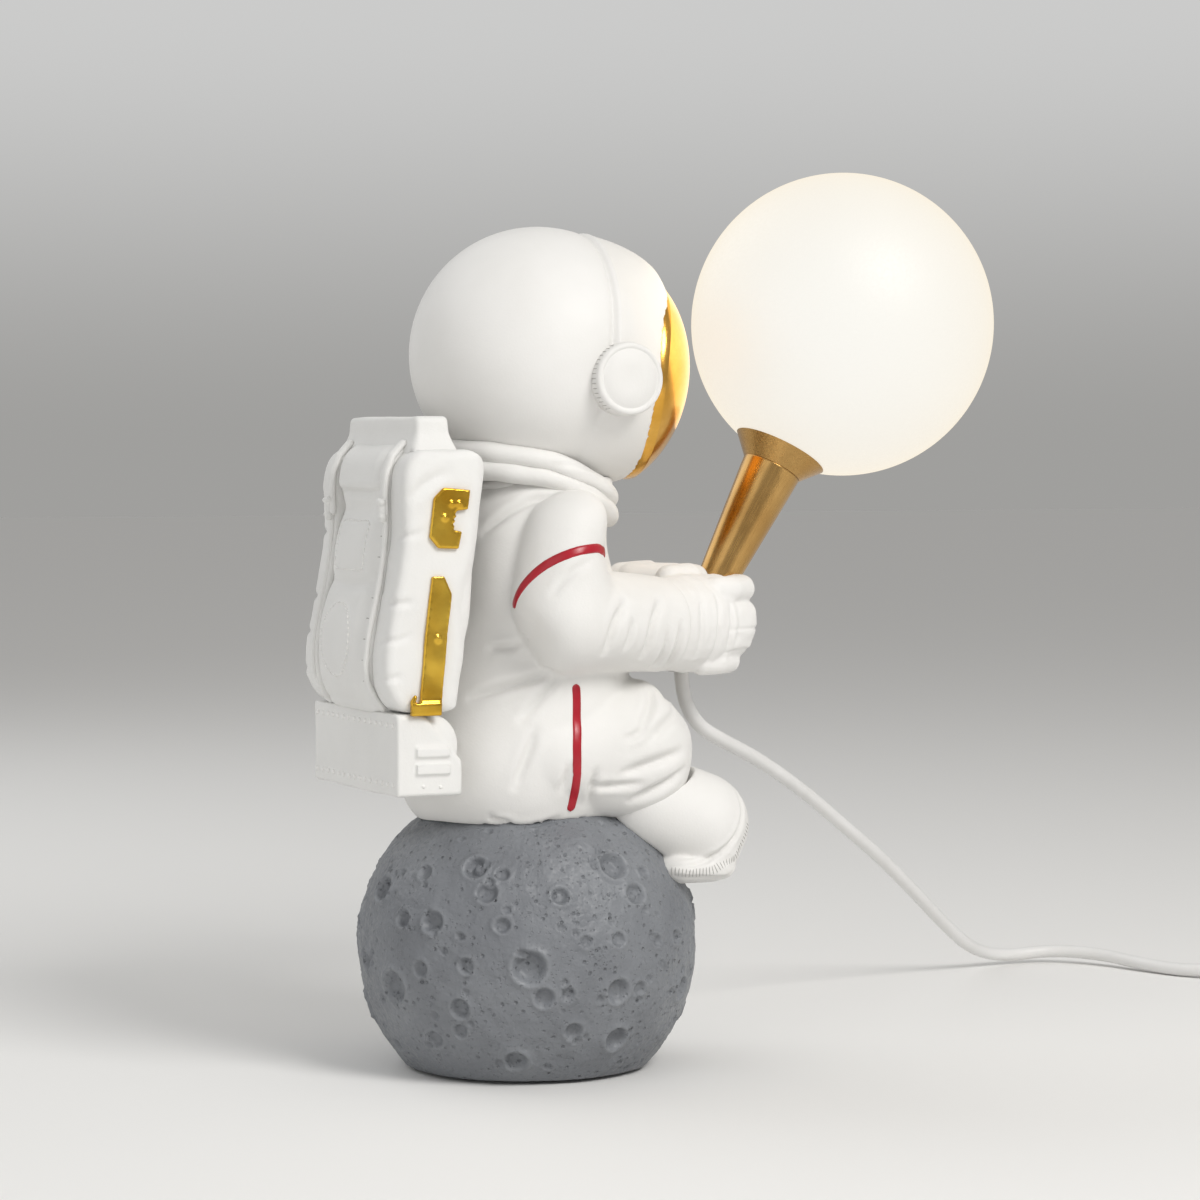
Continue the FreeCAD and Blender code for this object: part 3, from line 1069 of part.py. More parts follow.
def make_switch():
    """In-line switch: two half shells, rocker on its pin, screws and terminals."""
    low = padded("switch_low_form", "XY_Plane", switch_outline(), "Sizes.switch_low_tall")
    rounded(low, "Sizes.switch_round / 2", lambda edge: edge.BoundBox.ZMax < mm("snug_gap"))
    low_room = padded("switch_low_room", "XY_Plane", switch_outline("Sizes.switch_wall"), "Sizes.switch_low_tall")
    place(low_room, z="Sizes.switch_wall")
    high = padded("switch_high_form", "XY_Plane", switch_outline(), "Sizes.switch_high_tall")
    top = mm("switch_high_tall")
    rounded(high, "Sizes.switch_round", lambda edge: edge.BoundBox.ZMin > top - mm("snug_gap"))
    high_room = padded(
        "switch_high_room", "XY_Plane", switch_outline("Sizes.switch_wall"),
        "Sizes.switch_high_tall - Sizes.switch_wall",
    )
    window = primitive(
        "Box", "rocker_window", Length="Sizes.rocker_long + 2 * Sizes.rocker_room",
        Width="Sizes.rocker_wide + 2 * Sizes.rocker_room", Height="Sizes.switch_high_tall + Sizes.overrun",
    )
    place(window, x="-Sizes.rocker_long / 2 - Sizes.rocker_room", y="-Sizes.rocker_wide / 2 - Sizes.rocker_room")
    mouths = []
    for name, up in (("low", "Sizes.switch_low_tall"), ("high", "0")):
        mouth = primitive("Cylinder", f"cord_mouth_{name}", Radius="Sizes.lead_wide / 2", Height="Sizes.switch_long")
        mouths.append(place(
            mouth, x="-Sizes.switch_long / 2", z=up, axis=ALONG_Y, angle="90",
        ))
    seats = []
    upper_seats = []
    screws = []
    for side in (-1, 1):
        middle = f"{side} * Sizes.screw_out"
        post = primitive(
            "Cylinder", f"screw_post_{side + 1}", Radius="2 * Sizes.screw_radius", Height="Sizes.switch_low_tall",
        )
        seats.append(place(post, x=middle))
        upper_post = primitive(
            "Cylinder", f"upper_post_{side + 1}", Radius="2 * Sizes.screw_radius",
            Height="Sizes.switch_high_tall - Sizes.switch_wall / 2",
        )
        bite = primitive(
            "Cylinder", f"screw_bite_{side + 1}", Radius="Sizes.screw_radius", Height="Sizes.screw_bite",
        )
        place(bite, x=middle)
        upper_seats.append(cut(f"upper_post_{side + 1}_bored", place(upper_post, x=middle), bite))
        shank = primitive(
            "Cylinder", f"screw_shank_{side + 1}", Radius="Sizes.screw_radius",
            Height="Sizes.switch_low_tall - Sizes.screw_head_tall + Sizes.screw_bite",
        )
        place(shank, x=middle, z="Sizes.screw_head_tall")
        head = primitive(
            "Cylinder", f"screw_head_{side + 1}", Radius="Sizes.screw_head_radius", Height="Sizes.screw_head_tall",
        )
        place(head, x=middle)
        screws.append(joined(f"screw_{side + 1}", shank, head))
    low_shell = cut("switch_low_hollow", low, low_room)
    low_shell = joined("switch_low_posts", low_shell, *seats)
    screw_room = grouped("screw_room", *screws)
    keep(on_switch(cut("switch_low_cut", low_shell, screw_room, mouths[0])), "switch_lower_shell")
    high_shell = cut("switch_high_hollow", high, high_room, window, mouths[1])
    high_shell = joined("switch_high_posts", high_shell, *upper_seats)
    keep(on_switch(high_shell, z="Sizes.switch_low_tall"), "switch_upper_shell")
    screw_set = doc.addObject("Part::Compound", "screw_set")
    screw_set.Links = screws
    keep(on_switch(screw_set), "switch_screws")

    half = "Sizes.rocker_long / 2"
    shoulder = "Sizes.switch_low_tall + Sizes.switch_high_tall"
    rocker = padded(
        "rocker_form", "XZ_Plane",
        ((f"-{half}", f"{shoulder} - Sizes.rocker_skirt"), (f"-{half} / 2", f"{shoulder} - Sizes.rocker_tall"),
         (f"{half} / 2", f"{shoulder} - Sizes.rocker_tall"), (half, f"{shoulder} - Sizes.rocker_skirt"),
         (f"{half} - Sizes.rocker_lean", f"{shoulder} + Sizes.rocker_proud"),
         ("0", f"{shoulder} + Sizes.rocker_proud / 2"),
         (f"-{half} + Sizes.rocker_lean", f"{shoulder} + Sizes.rocker_proud / 4")),
        "Sizes.rocker_wide", both_ways=True,
    )
    bore = primitive(
        "Cylinder", "rocker_bore", Radius="Sizes.rocker_pin_radius + Sizes.snug_gap",
        Height="Sizes.rocker_wide + Sizes.overrun",
    )
    place(bore, y="Sizes.rocker_wide / 2 + Sizes.overrun / 2", z="Sizes.rocker_pin_up", axis=ALONG_X, angle="90")
    keep(on_switch(cut("rocker_cut", rocker, bore)), "switch_rocker")
    pin = primitive(
        "Cylinder", "rocker_pin_rod", Radius="Sizes.rocker_pin_radius",
        Height="Sizes.switch_wide - 2 * Sizes.switch_wall",
    )
    place(pin, y="Sizes.switch_wide / 2 - Sizes.switch_wall", z="Sizes.rocker_pin_up", axis=ALONG_X, angle="90")
    keep(on_switch(grouped("rocker_pins", pin)), "rocker_pin")
    blocks = []
    for side in (-1, 1):
        block = primitive(
            "Box", f"terminal_{side + 1}", Length="Sizes.terminal_long", Width="Sizes.terminal_wide",
            Height="Sizes.terminal_tall",
        )
        blocks.append(place(
            block, x="-Sizes.terminal_long / 2", y=f"{side} * Sizes.terminal_out - Sizes.terminal_wide / 2",
            z="Sizes.switch_wall",
        ))
    keep(on_switch(grouped("terminals", *blocks)), "switch_terminals")


def make_plug():
    """Generic two-pin plug on the floor beside the coil, with its tapered relief."""
    end_x, end_y, end_z = PLUG_ROUTE_END
    steps = RELIEF_RIBS * 2 + 1
    corners = [("0", "0")]
    for index in range(steps):
        radius = f"Sizes.relief_tip + {index / steps} * (Sizes.relief_root - Sizes.relief_tip)"
        if index % 2:
            radius += " - Sizes.relief_groove"
        corners += [(radius, f"{index / steps} * Sizes.relief_long"), (radius, f"{(index + 1) / steps} * Sizes.relief_long")]
    relief = turned("plug_relief_form", (*corners, ("0", "Sizes.relief_long")))
    relief.Placement = Placement(Vector(end_x, end_y, end_z), Rotation(ALONG_X, -90))
    keep(relief, "plug_relief")
    half_wide, half_back = mm("plug_wide") / 2, mm("plug_wide") / 2 * mm("plug_back_share")
    root = end_y + mm("relief_long")
    nose = root + mm("plug_long")
    waist = root + mm("plug_long") * mm("plug_back_share")
    corners = (
        Vector(end_x - half_back, root, 0), Vector(end_x + half_back, root, 0),
        Vector(end_x + half_wide, waist, 0), Vector(end_x + half_wide, nose, 0),
        Vector(end_x - half_wide, nose, 0), Vector(end_x - half_wide, waist, 0),
    )
    face = Part.Face(Part.makePolygon([*corners, corners[0]]))
    body = face.extrude(ALONG_Z * mm("plug_thick"))
    body = body.makeFillet(mm("plug_round"), [
        edge for edge in body.Edges if edge.BoundBox.YMin < nose - mm("snug_gap")
    ])
    prong_room = []
    prongs = []
    for side in (-1, 1):
        start = Vector(end_x + side * mm("prong_pitch") / 2, nose, end_z)
        root_start = start - ALONG_Y * mm("prong_root_long")
        root_pin = Part.makeCylinder(mm("prong_root_radius"), mm("prong_root_long"), root_start, ALONG_Y)
        prong_room.append(root_pin)
        prong = Part.makeCylinder(mm("prong_radius"), mm("prong_long"), start, ALONG_Y)
        tip = [edge for edge in prong.Edges if edge.BoundBox.YMin > nose + mm("prong_long") - mm("snug_gap")]
        prongs.append(prong.makeChamfer(mm("prong_round"), tip).fuse(root_pin))
    keep(shaped("plug_body_form", body.cut(Part.makeCompound(prong_room))), "plug_body")
    keep(shaped("plug_prongs_form", Part.makeCompound(prongs)), "plug_prongs")


def check_and_write():
    """Stops on any failed feature or bad solid, then writes one file for each sub-part."""
    doc.recompute()
    failed = [item.Name for item in doc.Objects if {"Invalid", "Error"} & set(item.State)]
    if failed:
        raise RuntimeError(f"failed features: {failed}")
    os.makedirs("parts", exist_ok=True)
    for piece in NODES:
        shape = piece.Shape
        if shape.isNull() or not shape.isValid() or not shape.Solids:
            raise RuntimeError(f"bad solid: {piece.Label}")
        shape.exportStep(f"parts/{piece.Label}.step")
    print("sub-parts", len(NODES))


def main():
    """Builds every sub-assembly in the order in which they fit on each other."""
    ball = make_base()
    helmet = make_helmet()
    torso = make_torso(helmet)
    make_legs(ball, torso)
    sleeve_form = make_arms(torso)
    make_collar(helmet, torso, sleeve_form)
    pouch = make_backpack(torso, helmet)
    make_tools(pouch)
    make_stem()
    make_bulb()
    make_shade()
    make_outlet()
    make_cords()
    make_switch()
    make_plug()
    check_and_write()


main()
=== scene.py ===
"""Dressed model of a figurine desk lamp: a seated astronaut on a crater ball holds a lit round shade.

Sizes in the classes are in millimetres. Meshes are written in metres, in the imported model's own frame,
where the figure faces -Y, +Z is up and its right-hand side is -X.
"""
import logging
import math
from dataclasses import astuple, dataclass
from enum import Enum
from typing import Sequence

import bmesh
import bpy
import numpy as np
from mathutils import Matrix, Vector, noise
from mathutils.bvhtree import BVHTree


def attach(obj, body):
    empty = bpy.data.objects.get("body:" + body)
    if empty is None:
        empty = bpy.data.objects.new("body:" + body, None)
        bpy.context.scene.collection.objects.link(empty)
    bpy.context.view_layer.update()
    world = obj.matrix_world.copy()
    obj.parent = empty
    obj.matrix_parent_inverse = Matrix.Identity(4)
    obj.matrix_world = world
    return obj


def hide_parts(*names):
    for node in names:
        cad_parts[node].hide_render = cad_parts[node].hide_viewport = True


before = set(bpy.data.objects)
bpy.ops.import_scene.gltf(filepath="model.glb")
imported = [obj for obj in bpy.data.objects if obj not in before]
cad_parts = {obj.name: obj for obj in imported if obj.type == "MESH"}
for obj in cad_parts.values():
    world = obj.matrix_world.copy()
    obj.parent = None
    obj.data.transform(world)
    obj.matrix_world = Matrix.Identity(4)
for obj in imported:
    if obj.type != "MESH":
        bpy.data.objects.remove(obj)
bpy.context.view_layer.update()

MM = 0.001
LOG = logging.getLogger("figurine_lamp")
Point = tuple[float, float, float]
Colour = tuple[float, float, float]
Path = Sequence[Point]


class Body(Enum):
    """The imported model's bodies that the dressed pieces ride on."""

    STAND = "stand"
    SHADE = "shade"


class Side(Enum):
    """The figure's two sides, as the sign of x."""

    RIGHT = -1
    LEFT = 1


# Meshes


def make_object(name: str, points: np.ndarray, faces: Sequence[Sequence[int]]) -> bpy.types.Object:
    """Makes a smooth mesh object with its faces turned outwards.

    Args:
        name: The object's name.
        points: Corners in millimetres.
        faces: Corner numbers of each face.

    Returns:
        The new object, at the origin.
    """
    mesh = bpy.data.meshes.new(name)
    mesh.from_pydata((np.asarray(points, float) * MM).tolist(), [], [list(face) for face in faces])
    work = bmesh.new()
    work.from_mesh(mesh)
    bmesh.ops.remove_doubles(work, verts=work.verts, dist=1e-7)
    loose = [edge for edge in work.edges if not edge.link_faces]
    bmesh.ops.delete(work, geom=loose, context="EDGES")
    bmesh.ops.recalc_face_normals(work, faces=work.faces)
    work.to_mesh(mesh)
    work.free()
    mesh.shade_smooth()
    obj = bpy.data.objects.new(name, mesh)
    bpy.context.scene.collection.objects.link(obj)
    return obj


def merged_copy(name: str, nodes: Sequence[str]) -> bpy.types.Object:
    """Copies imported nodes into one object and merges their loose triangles.

    Args:
        name: The new object's name.
        nodes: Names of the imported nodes.

    Returns:
        The copy, at the origin.
    """
    work = bmesh.new()
    for node in nodes:
        work.from_mesh(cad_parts[node].data)
    bmesh.ops.remove_doubles(work, verts=work.verts, dist=2e-6)
    mesh = bpy.data.meshes.new(name)
    work.to_mesh(mesh)
    work.free()
    obj = bpy.data.objects.new(name, mesh)
    bpy.context.scene.collection.objects.link(obj)
    return obj


def settle(obj: bpy.types.Object) -> bpy.types.Object:
    """Turns an object's modifiers into plain mesh.

    Args:
        obj: The object with modifiers.

    Returns:
        The same object, with its evaluated mesh and no modifiers.
    """
    bpy.context.view_layer.update()
    shown = obj.evaluated_get(bpy.context.evaluated_depsgraph_get())
    mesh = bpy.data.meshes.new_from_object(shown)
    obj.modifiers.clear()
    obj.data = mesh
    mesh.shade_smooth()
    return obj


@dataclass(frozen=True)
class Lump:
    """A rounded lump of modelling putty, or a run of them from point to point."""

    path: Path
    radii: Point

    def twin(self) -> "Lump":
        """The same lump on the figure's other side."""
        return Lump(mirrored(self.path), self.radii)

    def fill(self, work: bmesh.types.BMesh) -> None:
        """Adds the lump's balls to a mesh that is being made.

        Args:
            work: The mesh.
        """
        points = [Vector(point) for point in self.path]
        spots = [points[0]]
        for start, end in zip(points, points[1:]):
            count = max(1, math.ceil((end - start).length / (0.42 * min(self.radii))))
            spots += [start.lerp(end, (step + 1) / count) for step in range(count)]
        shape = Matrix.Diagonal(Vector(self.radii) * MM).to_4x4()
        fineness = 2 if max(self.radii) < 2.5 else 3
        for spot in spots:
            bmesh.ops.create_icosphere(
                work, subdivisions=fineness, radius=1.0, matrix=Matrix.Translation(spot * MM) @ shape,
            )


def soft_skin(
    name: str, nodes: Sequence[str], voxel: float, steps: int, lumps: Sequence[Lump] = (),
) -> bpy.types.Object:
    """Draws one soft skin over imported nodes, so that their joins turn into sculpted hollows.

    Args:
        name: The skin's name.
        nodes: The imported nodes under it.
        voxel: Edge of the remesh in millimetres.
        steps: How many times the skin is softened.
        lumps: Putty added to the nodes first.

    Returns:
        The skin.
    """
    obj = merged_copy(name, nodes)
    work = bmesh.new()
    work.from_mesh(obj.data)
    for lump in lumps:
        lump.fill(work)
    work.to_mesh(obj.data)
    work.free()
    remesh = obj.modifiers.new("skin", "REMESH")
    remesh.mode = "VOXEL"
    remesh.voxel_size = voxel * MM
    if steps:
        soften = obj.modifiers.new("soften", "SMOOTH")
        soften.factor = 0.5
        soften.iterations = steps
    return settle(obj)


def smooth_path(path: Path, steps: int = 6, closed: bool = False) -> np.ndarray:
    """Rounds a path of a few points into a Catmull-Rom line.

    Args:
        path: The points in millimetres.
        steps: New points for each stretch.
        closed: Whether the last point joins the first.

    Returns:
        The rounded line's points.
    """
    points = np.asarray(path, float)
    if closed:
        padded = np.vstack([points[-1], points, points[0], points[1]])
    else:
        padded = np.vstack([2 * points[0] - points[1], points, 2 * points[-1] - points[-2]])
    rounded = []
    for index in range(1, len(padded) - 2):
        before, start, end, after = padded[index - 1:index + 3]
        for share in np.arange(steps) / steps:
            square, cube = share * share, share * share * share
            rounded.append(0.5 * (
                2 * start + (end - before) * share + (2 * before - 5 * start + 4 * end - after) * square
                + (3 * start - before - 3 * end + after) * cube
            ))
    if not closed:
        rounded.append(padded[-2])
    return np.array(rounded)


def mirrored(path: Path) -> list[Point]:
    """The same path on the figure's other side."""
    return [(-x, y, z) for x, y, z in path]


def smooth_step(low: float, high: float, value: np.ndarray) -> np.ndarray:
    """A smooth ramp from 0 at low to 1 at high."""
    share = np.clip((value - low) / (high - low), 0.0, 1.0)
    return share * share * (3 - 2 * share)


@dataclass(frozen=True)
class Crease:
    """A pressed line in a soft surface, with puffed lips beside it."""

    path: Path
    width: float = 1.3
    depth: float = 1.1
    lip: float = 0.35

    def twin(self) -> "Crease":
        """The same crease on the figure's other side."""
        return Crease(mirrored(self.path), self.width, self.depth, self.lip)


@dataclass(frozen=True)
class Nudge:
    """A soft push of the surface round a point."""

    centre: Point
    reach: Point
    shift: Point

    def twin(self) -> "Nudge":
        """Mirrors the push.

        Returns:
            The same push on the figure's other side.
        """
        x, y, z = self.centre
        across, along, up = self.shift
        return Nudge((-x, y, z), self.reach, (-across, along, up))


class Skin:
    """A piece's mesh as arrays in millimetres, for moving its points in code."""

    def __init__(self, obj: bpy.types.Object) -> None:
        """Reads the object's points and normals.

        Args:
            obj: The piece, with its mesh in metres.
        """
        self.obj = obj
        flat = np.empty(len(obj.data.vertices) * 3, np.float32)
        obj.data.vertices.foreach_get("co", flat)
        self.points = flat.reshape(-1, 3).astype(float) / MM
        self._look()

    def _look(self) -> None:
        """Takes the normals and the lookup tree from the mesh as it is."""
        flat = np.empty(len(self.points) * 3, np.float32)
        self.obj.data.vertex_normals.foreach_get("vector", flat)
        self.normals = flat.reshape(-1, 3).astype(float)
        self.tree = BVHTree.FromObject(self.obj, bpy.context.evaluated_depsgraph_get())

    def nearest(self, path: np.ndarray) -> tuple[np.ndarray, np.ndarray]:
        """Finds the surface points and normals nearest to a path.

        Args:
            path: Points in millimetres.

        Returns:
            The points on the surface, and the normals there.
        """
        places, normals = [], []
        for point in path:
            place, normal, _face, _distance = self.tree.find_nearest(Vector(point) * MM)
            places.append(np.array(place) / MM)
            normals.append(np.array(normal))
        return np.array(places), np.array(normals)

    def away_from(self, path: np.ndarray, reach: float) -> tuple[np.ndarray, np.ndarray, np.ndarray]:
        """Measures the distance of the skin's points from a path.

        Args:
            path: The path's points in millimetres.
            reach: How far away a point may be to matter.

        Returns:
            Numbers of the near points, their distances and their shares of the path's run.
        """
        low, high = path.min(0) - reach, path.max(0) + reach
        near = np.where(((self.points > low) & (self.points < high)).all(1))[0]
        close = self.points[near]
        best = np.full(len(near), np.inf)
        share = np.zeros(len(near))
        for index, (start, end) in enumerate(zip(path, path[1:])):
            way = end - start
            along = np.clip((close - start) @ way / max(way @ way, 1e-9), 0, 1)
            distance = np.linalg.norm(close - start - along[:, None] * way, axis=1)
            nearer = distance < best
            best = np.where(nearer, distance, best)
            share = np.where(nearer, (index + along) / (len(path) - 1), share)
        return near, best, share

    def press(self, creases: Sequence[Crease]) -> None:
        """Presses creases into the skin.

        Args:
            creases: The creases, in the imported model's frame.
        """
        moves = np.zeros(len(self.points))
        for crease in creases:
            line, _normals = self.nearest(smooth_path(crease.path))
            near, distance, share = self.away_from(line, 5 * crease.width)
            fade = np.sqrt(np.clip(np.sin(math.pi * np.clip(share, 0.02, 0.98)), 0, 1))
            valley = -crease.depth * np.exp(-((distance / crease.width) ** 2))
            lips = crease.lip * np.exp(-(((distance - 2.4 * crease.width) / (1.3 * crease.width)) ** 2))
            moves[near] += fade * (valley + lips)
        self.swell(moves)

    def nudge(self, pushes: Sequence[Nudge]) -> None:
        """Pushes parts of the surface softly to new places.

        Args:
            pushes: The pushes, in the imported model's frame.
        """
        for push in pushes:
            away = (self.points - np.array(push.centre)) / np.array(push.reach)
            weight = np.exp(-(away ** 2).sum(1))
            self.points += weight[:, None] * np.array(push.shift)
        self.refresh()

    def refresh(self) -> None:
        """Takes normals and the lookup tree afresh from the moved points."""
        self.done()
        self._look()

    def swell(self, amount: np.ndarray) -> None:
        """Moves each point along its normal by its own amount, in millimetres."""
        self.points += self.normals * amount[:, None]

    def uneven(self, size: float, height: float, seed: int) -> None:
        """Adds the gentle unevenness of a hand-finished cast.

        Args:
            size: Spacing of the swells in millimetres.
            height: Their height in millimetres.
            seed: Shift of the pattern.
        """
        shift = Vector((seed * 3.1, seed * 1.7, seed * 2.3))
        swells = [noise.noise(Vector(point) / size + shift) for point in self.points]
        self.swell(height * np.array(swells))

    def done(self) -> bpy.types.Object:
        """Writes the points back to the mesh.

        Returns:
            The object.
        """
        self.obj.data.vertices.foreach_set("co", (self.points * MM).astype(np.float32).ravel())
        self.obj.data.update()
        return self.obj


def ribbon(name: str, host: Skin, path: Path, width: float, proud: float) -> bpy.types.Object:
    """Lays a thin crowned band of paint on a surface, with rounded ends.

    Args:
        name: The band's name.
        host: The surface under it.
        path: The band's middle line.
        width: Its width in millimetres.
        proud: How far its crown stands out.

    Returns:
        The band as a closed mesh.
    """
    line, normals = host.nearest(smooth_path(path, 10))
    count = len(line)
    run = np.concatenate([[0.0], np.cumsum(np.linalg.norm(np.diff(line, axis=0), axis=1))])
    # Offset as a share of the width, and height as a share of the crown
    sections = (
        (-0.5, -0.35), (-0.47, 0.55), (-0.25, 0.92), (0.0, 1.0), (0.25, 0.92), (0.47, 0.55), (0.5, -0.35),
    )
    points, faces = [], []
    for index in range(count):
        way = line[min(index + 1, count - 1)] - line[max(index - 1, 0)]
        across = np.cross(normals[index], way / np.linalg.norm(way))
        from_end = min(run[index], run[-1] - run[index])
        squeeze = math.sqrt(max(0.02, 1 - (1 - min(1.0, from_end / (width / 2))) ** 2))
        for offset, height in sections:
            place, normal = host.nearest((line[index] + across * offset * width * squeeze)[None, :])
            points.append(place[0] + normal[0] * proud * height)
    rows = len(sections)
    for index in range(count - 1):
        for column in range(rows):
            following = (column + 1) % rows
            faces.append((
                index * rows + column, index * rows + following,
                (index + 1) * rows + following, (index + 1) * rows + column,
            ))
    faces.append(tuple(range(rows)))
    faces.append(tuple((count - 1) * rows + column for column in reversed(range(rows))))
    return make_object(name, np.array(points), faces)


def lathe(
    name: str, profile: Sequence[tuple[float, float]], turn: Matrix, steps: int = 96,
) -> bpy.types.Object:
    """Turns a closed profile about its own axis and puts it in place.

    Args:
        name: The piece's name.
        profile: Radius and height of each corner in millimetres, once around.
        turn: The place of the piece's axis, in millimetres.
        steps: Faces around.

    Returns:
        The turned piece.
    """
    rows = len(profile)
    points, faces = [], []
    for step in range(steps):
        angle = 2 * math.pi * step / steps
        for radius, height in profile:
            points.append(turn @ Vector((radius * math.cos(angle), radius * math.sin(angle), height)))
    for step in range(steps):
        for row in range(rows):
            after, above = (step + 1) % steps, (row + 1) % rows
            faces.append((step * rows + row, after * rows + row, after * rows + above, step * rows + above))
    return make_object(name, np.array([tuple(point) for point in points]), faces)


# Node trees


def add_node(
    tree: bpy.types.NodeTree, kind: str, inputs: dict[str | int, object] | None = None, **settings: object,
) -> bpy.types.Node:
    """Adds a node with its own properties and input values.

    Args:
        tree: The tree that gets the node.
        kind: The node's type.
        inputs: Input values by the socket's name or number.
        settings: The node's properties.

    Returns:
        The node.
    """
    node = tree.nodes.new(kind)
    for label, value in settings.items():
        setattr(node, label, value)
    for label, value in (inputs or {}).items():
        node.inputs[label].default_value = value
    return node


def wire(tree: bpy.types.NodeTree, *links: tuple) -> None:
    """Links nodes of a tree.

    Args:
        tree: The tree.
        links: Each link's first node and its output, then its second node and its input.
    """
    for first, output, second, target in links:
        tree.links.new(first.outputs[output], second.inputs[target])


@dataclass(frozen=True)
class Pieces:
    """Sizes of the small pieces of a run in millimetres, in the order of the tree's inputs."""

    spacing: float
    along: float
    across: float
    proud: float


class RunOfPieces:
    """A node tree that sets small pieces along a path on a surface, such as stitches and ribs."""

    INPUTS = ("Spacing", "Along", "Across", "Proud")

    def __init__(self) -> None:
        """Builds the tree once."""
        self.tree = bpy.data.node_groups.new("run_of_pieces", "GeometryNodeTree")
        face = self.tree.interface
        face.new_socket(name="Geometry", in_out="INPUT", socket_type="NodeSocketGeometry")
        self.keys = {}
        for label in self.INPUTS:
            socket = face.new_socket(name=label, in_out="INPUT", socket_type="NodeSocketFloat")
            socket.default_value = MM
            self.keys[label] = socket.identifier
        socket = face.new_socket(name="Material", in_out="INPUT", socket_type="NodeSocketMaterial")
        self.keys["Material"] = socket.identifier
        face.new_socket(name="Geometry", in_out="OUTPUT", socket_type="NodeSocketGeometry")
        self._wire()

    def _wire(self) -> None:
        """Adds the tree's nodes and links."""
        tree = self.tree
        source = add_node(tree, "NodeGroupInput")
        curve = add_node(tree, "GeometryNodeMeshToCurve")
        spaced = add_node(tree, "GeometryNodeResampleCurve", mode="LENGTH")
        piece = add_node(tree, "GeometryNodeMeshUVSphere", {"Segments": 8, "Rings": 5, "Radius": 0.5})
        size = add_node(tree, "ShaderNodeCombineXYZ")
        tangent = add_node(tree, "GeometryNodeInputTangent")
        out = add_node(tree, "GeometryNodeInputNamedAttribute", {"Name": "out"}, data_type="FLOAT_VECTOR")
        along = add_node(tree, "FunctionNodeAlignRotationToVector", axis="X")
        upright = add_node(tree, "FunctionNodeAlignRotationToVector", axis="Z", pivot_axis="X")
        instances = add_node(tree, "GeometryNodeInstanceOnPoints")
        real = add_node(tree, "GeometryNodeRealizeInstances")
        smooth = add_node(tree, "GeometryNodeSetShadeSmooth")
        finish = add_node(tree, "GeometryNodeSetMaterial")
        target = add_node(tree, "NodeGroupOutput")
        wire(
            tree,
            (source, "Geometry", curve, "Mesh"), (curve, "Curve", spaced, "Curve"),
            (source, "Spacing", spaced, "Length"), (source, "Along", size, "X"),
            (source, "Across", size, "Y"), (source, "Proud", size, "Z"),
            (tangent, "Tangent", along, "Vector"), (along, "Rotation", upright, "Rotation"),
            (out, "Attribute", upright, "Vector"),
            (spaced, "Curve", instances, "Points"), (piece, "Mesh", instances, "Instance"),
            (upright, "Rotation", instances, "Rotation"), (size, "Vector", instances, "Scale"),
            (instances, "Instances", real, "Geometry"), (real, "Geometry", smooth, "Geometry"),
            (smooth, "Geometry", finish, "Geometry"), (source, "Material", finish, "Material"),
            (finish, "Geometry", target, "Geometry"),
        )

    def lay(
        self, name: str, host: Skin, paths: Sequence[Path], sizes: Pieces, material: bpy.types.Material,
        closed: bool = False,
    ) -> bpy.types.Object:
        """Lays pieces along paths on a surface.

        Args:
            name: The object's name.
            host: The surface that the pieces sit on.
            paths: The paths' points in millimetres.
            sizes: The pieces' sizes.
            material: The pieces' material.
            closed: Whether the paths are loops.

        Returns:
            All the pieces as one plain mesh.
        """
        points, normals, edges = [], [], []
        for path in paths:
            line, outs = host.nearest(smooth_path(path, 8, closed))
            first = len(points)
            points += list(line)
            normals += list(outs)
            last = first + len(line) - 1
            edges += [(index, index + 1) for index in range(first, last)]
            if closed:
                edges.append((last, first))
        mesh = bpy.data.meshes.new(name)
        mesh.from_pydata((np.array(points) * MM).tolist(), edges, [])
        out = mesh.attributes.new("out", "FLOAT_VECTOR", "POINT")
        out.data.foreach_set("vector", np.array(normals, np.float32).ravel())
        obj = bpy.data.objects.new(name, mesh)
        bpy.context.scene.collection.objects.link(obj)
        modifier = obj.modifiers.new("run", "NODES")
        modifier.node_group = self.tree
        for label, value in zip(self.INPUTS, astuple(sizes)):
            modifier[self.keys[label]] = value * MM
        modifier[self.keys["Material"]] = material
        return settle(obj)


# Shader groups and finishes


def new_group(
    name: str, inputs: dict[str, float | str], outputs: Sequence[str],
) -> tuple[bpy.types.NodeTree, bpy.types.Node, bpy.types.Node]:
    """Starts a shader node group with named sockets.

    Args:
        name: The group's name.
        inputs: Each input's default value, or its kind for a vector or colour.
        outputs: Names of the outputs; one ending in Color is a colour.

    Returns:
        The group, its input node and its output node.
    """
    tree = bpy.data.node_groups.new(name, "ShaderNodeTree")
    for label, value in inputs.items():
        kind = {"vector": "NodeSocketVector", "colour": "NodeSocketColor"}.get(value, "NodeSocketFloat")
        socket = tree.interface.new_socket(name=label, in_out="INPUT", socket_type=kind)
        if kind == "NodeSocketFloat":
            socket.default_value = float(value)
    for label in outputs:
        kind = "NodeSocketColor" if label.endswith("Color") else "NodeSocketFloat"
        tree.interface.new_socket(name=label, in_out="OUTPUT", socket_type=kind)
    return tree, add_node(tree, "NodeGroupInput"), add_node(tree, "NodeGroupOutput")


